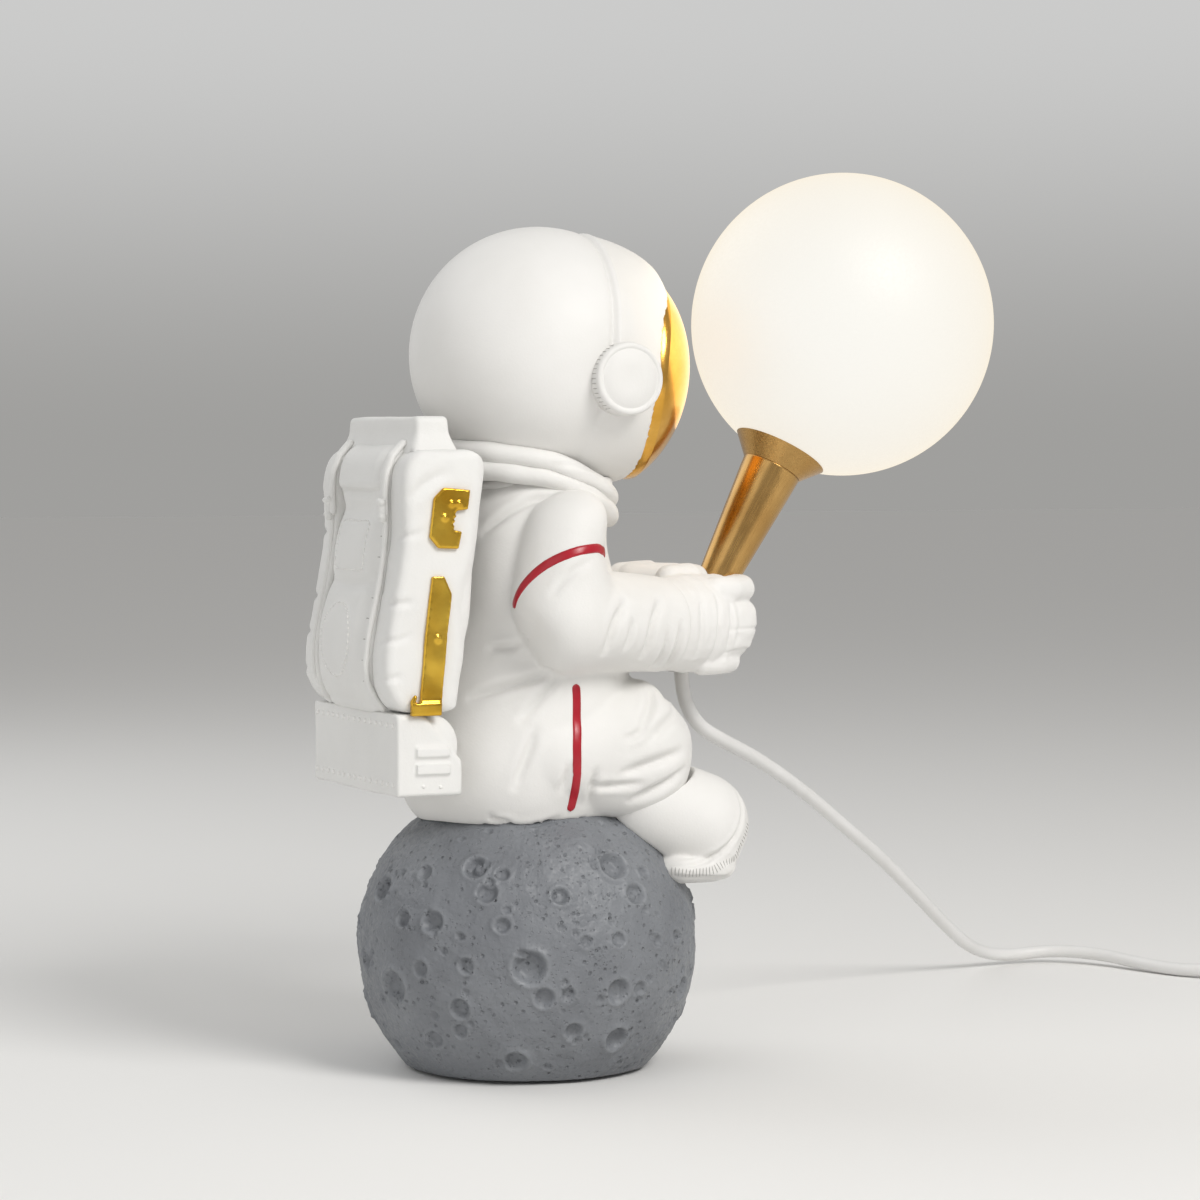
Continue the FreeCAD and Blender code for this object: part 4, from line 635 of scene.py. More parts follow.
class Effects:
    """The shader node groups that several materials share."""

    def __init__(self) -> None:
        """Builds every group once."""
        self.grain = self._grain()
        self.drift = self._drift()
        self.pits = self._pits()
        self.streaks = self._streaks()

    @staticmethod
    def _grain() -> bpy.types.NodeTree:
        """Makes fine grain: a noise height and a contrasted mask of it.

        Returns:
            The group.
        """
        tree, source, target = new_group(
            "fine_grain", {"Vector": "vector", "Scale": 900, "Detail": 4}, ("Height", "Mask"),
        )
        speckle = add_node(tree, "ShaderNodeTexNoise")
        ramp = add_node(tree, "ShaderNodeMapRange", {"From Min": 0.42, "From Max": 0.66})
        wire(
            tree,
            (source, "Vector", speckle, "Vector"), (source, "Scale", speckle, "Scale"),
            (source, "Detail", speckle, "Detail"), (speckle, "Fac", ramp, "Value"),
            (speckle, "Fac", target, "Height"), (ramp, "Result", target, "Mask"),
        )
        return tree

    @staticmethod
    def _drift() -> bpy.types.NodeTree:
        """Makes a slow drift between two tones.

        Returns:
            The group.
        """
        tree, source, target = new_group(
            "tone_drift",
            {"Vector": "vector", "First": "colour", "Second": "colour", "Scale": 30, "Amount": 1},
            ("Color", "Mask"),
        )
        cloud = add_node(tree, "ShaderNodeTexNoise", {"Detail": 5})
        ramp = add_node(tree, "ShaderNodeMapRange", {"From Min": 0.35, "From Max": 0.68})
        weigh = add_node(tree, "ShaderNodeMath", operation="MULTIPLY")
        mix = add_node(tree, "ShaderNodeMix", data_type="RGBA")
        wire(
            tree,
            (source, "Vector", cloud, "Vector"), (source, "Scale", cloud, "Scale"),
            (cloud, "Fac", ramp, "Value"), (ramp, "Result", weigh, 0), (source, "Amount", weigh, 1),
            (weigh, 0, mix, "Factor"),
            (source, "First", mix, "A"), (source, "Second", mix, "B"),
            (mix, "Result", target, "Color"), (weigh, 0, target, "Mask"),
        )
        return tree

    @staticmethod
    def _pits() -> bpy.types.NodeTree:
        """Makes scattered round pits: a height and a mask of the pits.

        Returns:
            The group.
        """
        tree, source, target = new_group(
            "pits", {"Vector": "vector", "Scale": 260, "Size": 0.3}, ("Height", "Mask"),
        )
        cells = add_node(tree, "ShaderNodeTexVoronoi")
        bowl = add_node(
            tree, "ShaderNodeMapRange", {"To Min": 1.0, "To Max": 0.0}, interpolation_type="SMOOTHSTEP",
        )
        split = add_node(tree, "ShaderNodeSeparateColor")
        choose = add_node(tree, "ShaderNodeMath", {1: 0.62}, operation="GREATER_THAN")
        keep = add_node(tree, "ShaderNodeMath", operation="MULTIPLY")
        invert = add_node(tree, "ShaderNodeMath", {0: 1.0}, operation="SUBTRACT")
        wire(
            tree,
            (source, "Vector", cells, "Vector"), (source, "Scale", cells, "Scale"),
            (cells, "Distance", bowl, "Value"), (source, "Size", bowl, "From Max"),
            (cells, "Color", split, "Color"), (split, "Red", choose, 0),
            (bowl, "Result", keep, 0), (choose, 0, keep, 1), (keep, 0, invert, 1),
            (invert, 0, target, "Height"), (keep, 0, target, "Mask"),
        )
        return tree

    @staticmethod
    def _streaks() -> bpy.types.NodeTree:
        """Makes long fine streaks along the vector's Z, as brushing leaves them.

        Returns:
            The group.
        """
        tree, source, target = new_group(
            "streaks", {"Vector": "vector", "Scale": 1200, "Stretch": 0.02}, ("Height", "Mask"),
        )
        squash = add_node(tree, "ShaderNodeCombineXYZ", {"X": 1.0, "Y": 1.0})
        scaled = add_node(tree, "ShaderNodeVectorMath", operation="MULTIPLY")
        lines = add_node(tree, "ShaderNodeTexNoise", {"Detail": 3})
        ramp = add_node(tree, "ShaderNodeMapRange", {"From Min": 0.35, "From Max": 0.65})
        wire(
            tree,
            (source, "Stretch", squash, "Z"), (source, "Vector", scaled, 0), (squash, "Vector", scaled, 1),
            (scaled, "Vector", lines, "Vector"), (source, "Scale", lines, "Scale"),
            (lines, "Fac", ramp, "Value"), (lines, "Fac", target, "Height"), (ramp, "Result", target, "Mask"),
        )
        return tree


class Palette:
    """One material's node tree while it is being wired."""

    def __init__(self, name: str) -> None:
        """Starts a material with a Principled shader and object coordinates.

        Args:
            name: The material's name.
        """
        self.material = bpy.data.materials.new(name)
        self.material.use_nodes = True
        self.tree = self.material.node_tree
        self.shader = self.tree.nodes["Principled BSDF"]
        self.place = self.node("ShaderNodeTexCoord").outputs["Object"]

    def node(self, kind: str, inputs: dict[str, object] | None = None, **settings: object) -> bpy.types.Node:
        """Adds a plain node, as add_node does."""
        return add_node(self.tree, kind, inputs, **settings)

    def link(self, output: bpy.types.NodeSocket, target: bpy.types.NodeSocket) -> None:
        """Links two sockets."""
        self.tree.links.new(output, target)

    def feed(self, output: bpy.types.NodeSocket, label: str) -> None:
        """Links an output to one of the shader's inputs."""
        self.link(output, self.shader.inputs[label])

    def fix(self, label: str, value: float | tuple) -> None:
        """Sets one of the shader's inputs to a constant."""
        self.shader.inputs[label].default_value = value

    def group(self, tree: bpy.types.NodeTree, **values: float | Colour) -> bpy.types.Node:
        """Adds a shared group with its own values.

        Args:
            tree: The group.
            values: Input values by their names; a colour has three numbers.

        Returns:
            The group node, reading object coordinates.
        """
        node = self.node("ShaderNodeGroup", node_tree=tree)
        self.link(self.place, node.inputs["Vector"])
        for label, value in values.items():
            node.inputs[label].default_value = (*value, 1.0) if isinstance(value, tuple) else value
        return node

    def mix(self, mask: bpy.types.NodeSocket, first: object, second: object) -> bpy.types.NodeSocket:
        """Mixes two colours by a mask.

        Args:
            mask: The share of the second colour.
            first: A colour or a colour output.
            second: A colour or a colour output.

        Returns:
            The mixed colour's output.
        """
        node = self.node("ShaderNodeMix", data_type="RGBA")
        self.link(mask, node.inputs["Factor"])
        for label, value in (("A", first), ("B", second)):
            if isinstance(value, tuple):
                node.inputs[label].default_value = (*value, 1.0)
            else:
                self.link(value, node.inputs[label])
        return node.outputs["Result"]

    def spread(self, mask: bpy.types.NodeSocket, low: float, high: float) -> bpy.types.NodeSocket:
        """Spreads a mask over another range.

        Args:
            mask: The mask, from 0 to 1.
            low: The value at 0.
            high: The value at 1.

        Returns:
            The spread value's output.
        """
        node = self.node("ShaderNodeMapRange", {"To Min": low, "To Max": high})
        self.link(mask, node.inputs["Value"])
        return node.outputs["Result"]

    def gloss(self, mask: bpy.types.NodeSocket, low: float, high: float) -> None:
        """Lets a mask move the roughness from low to high."""
        self.feed(self.spread(mask, low, high), "Roughness")

    def bump(self, heights: Sequence[tuple[bpy.types.NodeSocket, float]]) -> None:
        """Stacks height outputs into the shader's normal.

        Args:
            heights: Each height and its depth in millimetres.
        """
        before = None
        for height, depth in heights:
            node = self.node("ShaderNodeBump", {"Strength": 1.0, "Distance": depth * MM})
            self.link(height, node.inputs["Height"])
            if before is not None:
                self.link(before, node.inputs["Normal"])
            before = node.outputs["Normal"]
        self.feed(before, "Normal")


@dataclass(frozen=True)
class Resin:
    """Matt painted cast resin, with faint grain and uneven tone."""

    name: str
    colour: Colour = (0.80, 0.79, 0.77)
    second: Colour = (0.74, 0.73, 0.705)
    roughness: float = 0.62
    grain: float = 0.05
    swell: float = 0.12

    def material(self, effects: Effects) -> bpy.types.Material:
        """Builds the material.

        Args:
            effects: The shared shader groups.

        Returns:
            The material.
        """
        palette = Palette(self.name)
        drift = palette.group(effects.drift, First=self.colour, Second=self.second, Scale=26.0, Amount=0.8)
        fine = palette.group(effects.grain, Scale=1500.0, Detail=3.0)
        coarse = palette.group(effects.grain, Scale=160.0, Detail=4.0)
        palette.feed(drift.outputs["Color"], "Base Color")
        palette.gloss(fine.outputs["Mask"], self.roughness - 0.05, self.roughness + 0.08)
        palette.fix("Specular IOR Level", 0.35)
        palette.bump([(coarse.outputs["Height"], self.swell), (fine.outputs["Height"], self.grain)])
        return palette.material


@dataclass(frozen=True)
class Stone:
    """Painted moon rock: blue-grey, satin, with pits and grit, paler crater rims as painted highlight, and
    darker crater floors and pits as painted shade.
    """

    name: str
    colour: Colour = (0.165, 0.174, 0.190)
    second: Colour = (0.215, 0.226, 0.243)
    # Colour of the painted highlight on crater rims
    rim: Colour = (0.300, 0.313, 0.333)
    roughness: float = 0.5

    def material(self, effects: Effects) -> bpy.types.Material:
        """Builds the material.

        Args:
            effects: The shared shader groups.

        Returns:
            The material, which reads the painted rim highlight and floor shade from the ball's own relief
            attribute.
        """
        palette = Palette(self.name)
        drift = palette.group(effects.drift, First=self.colour, Second=self.second, Scale=38.0, Amount=1.0)
        relief = palette.node("ShaderNodeAttribute", attribute_name="relief")
        # Painted crater light: paler rims as painted highlight, darker floors as painted shade
        painted_crater_light = palette.mix(palette.spread(relief.outputs["Fac"], 0.0, 0.4), drift.outputs["Color"], self.rim)
        small = palette.group(effects.pits, Scale=430.0, Size=0.34)
        tiny = palette.group(effects.pits, Scale=1000.0, Size=0.42)
        grit = palette.group(effects.grain, Scale=700.0, Detail=6.0)
        lumps = palette.group(effects.grain, Scale=120.0, Detail=5.0)
        # The small pits take the darkest tone: painted shade in the pits
        palette.feed(palette.mix(small.outputs["Mask"], painted_crater_light, self.colour), "Base Color")
        palette.gloss(grit.outputs["Mask"], self.roughness - 0.1, self.roughness + 0.15)
        palette.bump([
            (lumps.outputs["Height"], 0.9), (small.outputs["Height"], 0.6),
            (tiny.outputs["Height"], 0.25), (grit.outputs["Height"], 0.3),
        ])
        return palette.material


@dataclass(frozen=True)
class Metal:
    """Metal or leaf with brushed or uneven gloss."""

    name: str
    colour: Colour
    second: Colour
    roughness: float
    spread: float
    scale: float
    depth: float
    # Turn of the brushing about X in degrees, or none
    brushed: float | None = None

    def material(self, effects: Effects) -> bpy.types.Material:
        """Builds the material.

        Args:
            effects: The shared shader groups.

        Returns:
            The material.
        """
        palette = Palette(self.name)
        if self.brushed is None:
            marks = palette.group(effects.grain, Scale=self.scale, Detail=3.0)
        else:
            turn = palette.node("ShaderNodeMapping", {"Rotation": (math.radians(self.brushed), 0.0, 0.0)})
            palette.link(palette.place, turn.inputs["Vector"])
            palette.place = turn.outputs["Vector"]
            marks = palette.group(effects.streaks, Scale=self.scale, Stretch=0.03)
        mask = marks.outputs["Mask"]
        drift = palette.group(effects.drift, First=self.colour, Second=self.second, Scale=60.0, Amount=1.0)
        tone = palette.mix(palette.spread(mask, 0.0, 0.25), drift.outputs["Color"], self.second)
        palette.feed(tone, "Base Color")
        palette.fix("Metallic", 1.0)
        palette.gloss(mask, self.roughness - self.spread / 2, self.roughness + self.spread / 2)
        palette.bump([(marks.outputs["Height"], self.depth)])
        return palette.material


@dataclass(frozen=True)
class Plastic:
    """Moulded plastic, enamel or ceramic with a faint moulding texture."""

    name: str
    colour: Colour
    second: Colour
    roughness: float
    scale: float
    depth: float

    def material(self, effects: Effects) -> bpy.types.Material:
        """Builds the material.

        Args:
            effects: The shared shader groups.

        Returns:
            The material.
        """
        palette = Palette(self.name)
        drift = palette.group(effects.drift, First=self.colour, Second=self.second, Scale=70.0, Amount=1.0)
        skin = palette.group(effects.grain, Scale=self.scale, Detail=2.0)
        palette.feed(drift.outputs["Color"], "Base Color")
        palette.gloss(skin.outputs["Mask"], self.roughness - 0.04, self.roughness + 0.06)
        palette.bump([(skin.outputs["Height"], self.depth)])
        return palette.material


@dataclass(frozen=True)
class Lit:
    """A lit diffusing wall: a faintly textured glow over pale plastic, with a painted warmer, darker rim
    where the wall turns edge-on to the view.
    """

    name: str
    glow: Colour = (0.98, 0.96, 0.905)
    second: Colour = (0.97, 0.948, 0.89)
    # Colour of the painted rim: the glow's shade where the wall is seen edge-on
    edge: Colour = (0.96, 0.83, 0.62)
    strength: float = 0.84
    colour: Colour = (0.10, 0.10, 0.095)

    def material(self, effects: Effects) -> bpy.types.Material:
        """Builds the material.

        Args:
            effects: The shared shader groups.

        Returns:
            The material.
        """
        palette = Palette(self.name)
        drift = palette.group(effects.drift, First=self.glow, Second=self.second, Scale=22.0, Amount=1.0)
        sand = palette.group(effects.grain, Scale=1100.0, Detail=3.0)
        palette.fix("Base Color", (*self.colour, 1.0))
        # Painted shade: by the view's angle, the glow turns to the darker, warmer rim colour towards the
        # outline
        facing = palette.node("ShaderNodeLayerWeight", {"Blend": 0.22})
        glow_with_painted_rim = palette.mix(facing.outputs["Facing"], drift.outputs["Color"], self.edge)
        palette.feed(glow_with_painted_rim, "Emission Color")
        palette.fix("Emission Strength", self.strength)
        palette.gloss(sand.outputs["Mask"], 0.5, 0.62)
        palette.bump([(sand.outputs["Height"], 0.06)])
        return palette.material


class Finishes:
    """Every material of the lamp, built once and looked up by name."""

    LIST = (
        Resin("suit_resin"),
        Resin("helmet_resin", roughness=0.56, swell=0.05, grain=0.035),
        Resin("pack_resin", colour=(0.79, 0.785, 0.765), second=(0.735, 0.73, 0.71), swell=0.16),
        Resin("boot_resin", roughness=0.58, swell=0.08),
        Resin("thread_resin", colour=(0.84, 0.83, 0.81), second=(0.80, 0.79, 0.77), roughness=0.7),
        # seam_shade paints the shade of fine grooves and cuts onto small raised strips
        Resin("seam_shade", colour=(0.46, 0.45, 0.43), second=(0.40, 0.39, 0.37), roughness=0.8),
        Stone("moon_rock"),
        Metal("gilt_leaf", (0.80, 0.52, 0.075), (0.60, 0.33, 0.03), 0.24, 0.10, 90.0, 0.05),
        Metal("gilt_visor", (0.80, 0.45, 0.10), (0.66, 0.34, 0.05), 0.22, 0.05, 900.0, 0.004),
        Metal("brushed_brass", (0.56, 0.34, 0.12), (0.44, 0.25, 0.08), 0.25, 0.08, 1500.0, 0.002, -29.0),
        Metal("plated_steel", (0.62, 0.62, 0.63), (0.52, 0.52, 0.53), 0.28, 0.1, 500.0, 0.008),
        Metal("contact_brass_bare", (0.72, 0.55, 0.26), (0.60, 0.43, 0.18), 0.32, 0.12, 500.0, 0.008),
        Metal("nickel_plate", (0.66, 0.64, 0.60), (0.58, 0.56, 0.52), 0.22, 0.08, 500.0, 0.006),
        Plastic("stripe_paint", (0.43, 0.006, 0.020), (0.33, 0.004, 0.014), 0.32, 500.0, 0.05),
        Plastic("cord_sheath", (0.78, 0.775, 0.765), (0.74, 0.735, 0.72), 0.42, 700.0, 0.02),
        Plastic("switch_plastic", (0.77, 0.765, 0.75), (0.74, 0.735, 0.72), 0.36, 1400.0, 0.02),
        Plastic("rocker_plastic", (0.72, 0.715, 0.70), (0.69, 0.685, 0.67), 0.25, 900.0, 0.008),
        Plastic("plug_plastic", (0.77, 0.765, 0.75), (0.73, 0.725, 0.71), 0.4, 1400.0, 0.02),
        Plastic("ring_plastic_white", (0.62, 0.58, 0.50), (0.58, 0.54, 0.46), 0.4, 800.0, 0.01),
        Plastic("holder_porcelain", (0.74, 0.72, 0.67), (0.70, 0.68, 0.63), 0.22, 300.0, 0.01),
        Plastic("board_enamel", (0.72, 0.74, 0.70), (0.66, 0.69, 0.64), 0.38, 900.0, 0.01),
        Plastic("bulb_foot_plastic", (0.70, 0.69, 0.66), (0.66, 0.65, 0.62), 0.34, 800.0, 0.01),
        Plastic("bush_rubber", (0.68, 0.67, 0.65), (0.63, 0.62, 0.60), 0.55, 800.0, 0.03),
        Plastic("felt_grey", (0.085, 0.088, 0.094), (0.06, 0.062, 0.067), 0.95, 1800.0, 0.25),
        Lit("lit_shade"),
        Lit("lit_bulb", strength=1.0, colour=(0.5, 0.49, 0.46)),
    )

    def __init__(self) -> None:
        """Builds the shared groups and every finish."""
        effects = Effects()
        self.materials = {finish.name: finish.material(effects) for finish in self.LIST}

    def dress(self, obj: bpy.types.Object, name: str) -> bpy.types.Object:
        """Gives an object one finish.

        Args:
            obj: A piece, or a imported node's object.
            name: The finish's name.

        Returns:
            The same object.
        """
        obj.data.materials.clear()
        obj.data.materials.append(self.materials[name])
        return obj

    def nodes(self, **names: str) -> None:
        """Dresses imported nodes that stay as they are, by node name."""
        for node, name in names.items():
            self.dress(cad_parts[node], name)


@dataclass
class Assembly:
    """What every sub-assembly of the lamp shares: the materials and the tree for small pieces."""

    finishes: Finishes
    runs: RunOfPieces

    @staticmethod
    def put_on(
        obj: bpy.types.Object, slot: str, replaced: Sequence[str] = (), body: Body = Body.STAND,
    ) -> bpy.types.Object:
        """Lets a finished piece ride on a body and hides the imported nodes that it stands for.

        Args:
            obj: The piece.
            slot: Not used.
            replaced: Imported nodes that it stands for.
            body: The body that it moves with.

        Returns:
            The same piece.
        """
        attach(obj, body.value)
        if replaced:
            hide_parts(*replaced)
        faces = len(obj.data.polygons) if obj.type == "MESH" else 0
        LOG.info("piece %s on %s, %d faces", obj.name, body.value, faces)
        return obj

    def fit(
        self, obj: bpy.types.Object, finish: str, slot: str, replaced: Sequence[str] = (),
        body: Body = Body.STAND,
    ) -> bpy.types.Object:
        """Gives a piece its finish, then does what put_on does.

        Args:
            obj: The piece.
            finish: The finish's name.
            slot: The record's material slot.
            replaced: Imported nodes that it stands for.
            body: The body that it moves with.

        Returns:
            The same piece.
        """
        return self.put_on(self.finishes.dress(obj, finish), slot, replaced, body)

    def sew(
        self, name: str, host: Skin, paths: Sequence[Path], sizes: Pieces, finish: str, slot: str,
        closed: bool = False,
    ) -> None:
        """Lays small pieces along paths on a surface, and puts them on the stand.

        Args:
            name: The object's name.
            host: The surface that the pieces sit on.
            paths: The paths' points in millimetres.
            sizes: The pieces' sizes.
            finish: The finish's name.
            slot: The record's material slot.
            closed: Whether the paths are loops.
        """
        self.put_on(self.runs.lay(name, host, paths, sizes, self.finishes.materials[finish], closed), slot)


# The room


@dataclass
class Studio:
    """Camera, soft lamps, pale floor and pale surroundings."""

    camera_place: Point = (-1020.1, 449.9, 196.4)
    heading: Point = (0.90631, -0.42262, 0.0)
    pitch: float = 2.45
    lens: float = 105.0
    floor_reach: float = 9000.0
    lamps: tuple = (
        ("key_panel", (-1150.0, -350.0, 1100.0), 700.0, 15.0, (1.0, 0.985, 0.965)),
        ("fill_panel", (-700.0, 1100.0, 500.0), 1300.0, 3.0, (0.98, 0.99, 1.0)),
        ("back_panel", (900.0, 500.0, 900.0), 1200.0, 4.0, (0.97, 0.985, 1.0)),
    )
    floor_colour: Colour = (0.84, 0.835, 0.82)
    world_strength: float = 0.42
    # Colour of the sweep at the horizon: painted shade that matches the far floor, where the lamps' light
    # falls off
    shaded_horizon: Colour = (0.352, 0.348, 0.338)
    backdrop: Colour = (0.60, 0.60, 0.595)
    backdrop_rise: float = 0.13
    glow_place: Point = (0.0, -62.5, 237.0)
    glow_size: float = 74.0
    glow_power: float = 0.017
    glow_tint: Colour = (1.0, 0.80, 0.52)

    def build(self) -> None:
        """Builds the whole room."""
        self._camera()
        self._lamps()
        self._glow()
        self._floor()
        self._world()
        bpy.context.scene.view_settings.view_transform = "Standard"

    def _camera(self) -> None:
        """Sets the camera at the photograph's place."""
        data = bpy.data.cameras.new("camera")
        data.lens = self.lens
        data.sensor_width = 36.0
        data.clip_start = 0.01
        data.clip_end = 50.0
        camera = bpy.data.objects.new("camera", data)
        level = Vector(self.heading)
        drop = math.radians(self.pitch)
        forward = level * math.cos(drop) - Vector((0, 0, 1)) * math.sin(drop)
        right = forward.cross(Vector((0, 0, 1))).normalized()
        up = right.cross(forward)
        turn = Matrix((right, up, -forward)).transposed().to_4x4()
        camera.matrix_world = Matrix.Translation(Vector(self.camera_place) * MM) @ turn
        bpy.context.scene.collection.objects.link(camera)
        bpy.context.scene.camera = camera

    def _lamps(self) -> None:
        """Hangs the soft panels, all facing the figure."""
        for name, place, size, power, tint in self.lamps:
            data = bpy.data.lights.new(name, "AREA")
            data.shape = "DISK"
            data.size = size * MM
            data.energy = power
            data.color = tint
            lamp = bpy.data.objects.new(name, data)
            spot = Vector(place) * MM
            lamp.location = spot
            lamp.rotation_euler = (Vector((0, -0.03, 0.15)) - spot).to_track_quat("-Z", "Y").to_euler()
            bpy.context.scene.collection.objects.link(lamp)

    def _glow(self) -> None:
        """Adds the warm light that the lit shade throws back on the helmet."""
        data = bpy.data.lights.new("shade_glow", "AREA")
        data.shape = "DISK"
        data.size = self.glow_size * MM
        data.energy = self.glow_power
        data.color = self.glow_tint
        lamp = bpy.data.objects.new("shade_glow", data)
        lamp.location = Vector(self.glow_place) * MM
        lamp.rotation_euler = Vector((0.0, 1.0, 0.0)).to_track_quat("-Z", "Z").to_euler()
        lamp.visible_camera = False
        bpy.context.scene.collection.objects.link(lamp)

    def _floor(self) -> None:
        """Lays a plain pale floor."""
        reach = self.floor_reach
        corners = np.array([(x * reach, y * reach, 0.0) for x, y in ((-1, -1), (1, -1), (1, 1), (-1, 1))])
        floor = make_object("floor", corners, [(0, 1, 2, 3)])
        palette = Palette("floor_paint")
        palette.fix("Base Color", (*self.floor_colour, 1.0))
        palette.fix("Roughness", 0.85)
        palette.fix("Specular IOR Level", 0.2)
        floor.data.materials.append(palette.material)

    def _world(self) -> None:
        """Fills the surroundings with even light, and with a plain sweep where the camera looks, darker near
        the horizon as painted shade that matches the dim far floor.
        """
        world = bpy.data.worlds.new("room")
        bpy.context.scene.world = world
        world.use_nodes = True
        tree = world.node_tree
        light = tree.nodes["Background"]
        light.inputs["Color"].default_value = (1.0, 0.99, 0.975, 1.0)
        light.inputs["Strength"].default_value = self.world_strength
        pale = add_node(tree, "ShaderNodeBackground")
        way = add_node(tree, "ShaderNodeTexCoord")
        height = add_node(tree, "ShaderNodeSeparateXYZ")
        rise = add_node(
            tree, "ShaderNodeMapRange", {"From Max": self.backdrop_rise}, interpolation_type="SMOOTHSTEP",
        )
        tones = {"A": (*self.shaded_horizon, 1.0), "B": (*self.backdrop, 1.0)}
        sweep = add_node(tree, "ShaderNodeMix", tones, data_type="RGBA")
        path = add_node(tree, "ShaderNodeLightPath")
        seen = add_node(tree, "ShaderNodeMath", operation="MAXIMUM")
        mix = add_node(tree, "ShaderNodeMixShader")
        wire(
            tree,
            (way, "Generated", height, "Vector"), (height, "Z", rise, "Value"),
            (rise, "Result", sweep, "Factor"), (sweep, "Result", pale, "Color"),
            (path, "Is Camera Ray", seen, 0), (path, "Is Transmission Ray", seen, 1), (seen, 0, mix, "Fac"),
            (light, "Background", mix, 1), (pale, "Background", mix, 2),
            (mix, "Shader", tree.nodes["World Output"], "Surface"),
        )


# The free cord


@dataclass
class FreeCord(Assembly):
    """The cord from the gloves to the switch, and on through the coil to the plug."""

    diameter: float = 4.8
    lamp_route: Path = (
        (0.0, -55.0, 124.6), (0.6, -55.6, 116.6), (5.2, -63.0, 106.4), (13.2, -76.6, 100.2),
        (26.5, -97.5, 92.0), (44.5, -125.0, 78.0), (60.0, -147.8, 64.6), (74.5, -170.5, 51.2),
        (89.0, -193.0, 36.0), (103.5, -216.0, 19.5), (114.5, -234.0, 8.0), (121.5, -252.0, 3.0),
        (118.5, -272.0, 4.8), (103.0, -285.0, 4.4), (83.0, -290.5, 2.9), (63.5, -297.0, 2.45),
        (50.5, -308.5, 4.4), (44.1, -318.4, 8.0), (40.1, -327.0, 8.0),
    )
    switch_route: Path = (
        (14.7, -381.4, 8.0), (10.0, -391.6, 7.2), (0.6, -400.4, 4.6), (-13.0, -404.6, 2.8),
        (-28.5, -405.4, 2.45),
    )
    plug_end: Point = (-83.4, -332.0, 6.85)
    coil_centre: Point = (-50.0, -371.0, 2.45)
    coil_outer: float = 34.0
    coil_inner: float = 20.5
    coil_pitch: float = 5.4
    coil_layer: float = 5.3
    coil_dip: float = 1.5
    coil_climb: float = 0.5
    coil_turns: float = 5.25
    points_per_turn: int = 16
    lamp_length: float = 389.0
    plug_length: float = 980.5

    def _coil(self) -> list[Point]:
        """Winds the coil: in along the table, then up and out on top of itself.

        Returns:
            The coil's control points.
        """
        layer_turns = (self.coil_outer - self.coil_inner) / self.coil_pitch
        count = round(self.coil_turns * self.points_per_turn)
        # The control points lie a little outside the curve that they draw
        reach = 2 / (1 + math.cos(2 * math.pi / self.points_per_turn) / 2 + 0.5)
        points = []
        for index in range(count + 1):
            turn = self.coil_turns * index / count
            if turn <= layer_turns:
                radius, rise = self.coil_outer - self.coil_pitch * turn, 0.0
            elif turn <= layer_turns + self.coil_climb:
                share = (turn - layer_turns) / self.coil_climb
                radius = self.coil_inner - self.coil_dip * math.sin(math.pi * share)
                rise = self.coil_layer * share * share * (3 - 2 * share)
            else:
                radius = self.coil_inner + self.coil_pitch * (turn - layer_turns - self.coil_climb)
                rise = self.coil_layer
            angle = math.radians(-90 - 360 * turn)
            points.append((
                self.coil_centre[0] + reach * radius * math.cos(angle),
                self.coil_centre[1] + reach * radius * math.sin(angle), self.coil_centre[2] + rise,
            ))
        return points

    def _spline(self, name: str, route: Path) -> bpy.types.Object:
        """Makes one smooth round cord over a route.

        Args:
            name: The cord's name.
            route: Its control points in millimetres.

        Returns:
            The curve object.
        """
        data = bpy.data.curves.new(name, "CURVE")
        data.dimensions = "3D"
        data.resolution_u = 6
        data.bevel_depth = self.diameter / 2 * MM
        data.bevel_resolution = 5
        data.use_fill_caps = True
        spline = data.splines.new("NURBS")
        spline.points.add(len(route) - 1)
        for point, place in zip(spline.points, route):
            point.co = (*(value * MM for value in place), 1.0)
        spline.order_u = 3
        spline.use_endpoint_u = True
        obj = bpy.data.objects.new(name, data)
        bpy.context.scene.collection.objects.link(obj)
        return obj

    def build(self) -> None:
        lamp = self._spline("lamp_flex", self.lamp_route)
        plug = self._spline("plug_flex", self._plug_route())
        self.fit(lamp, "cord_sheath", "cord_white", ("lamp_cord",))
        self.fit(plug, "cord_sheath", "cord_white", ("switch_lead", "cord_coil", "plug_lead"))

    def _plug_route(self) -> list[Point]:
        """Leads the cord from the switch through the coil to the plug.

        Returns:
            The control points.
        """
        coil = self._coil()
        x, y, z = coil[-1]
        end_x, end_y, end_z = self.plug_end
        step = 2 * self.diameter
        leaving, coming = (x - 0.3, y + 1.5 * step, z), (end_x, end_y - step, end_z)
        return [*self.switch_route, *coil, leaving, coming, self.plug_end]


# The crater ball


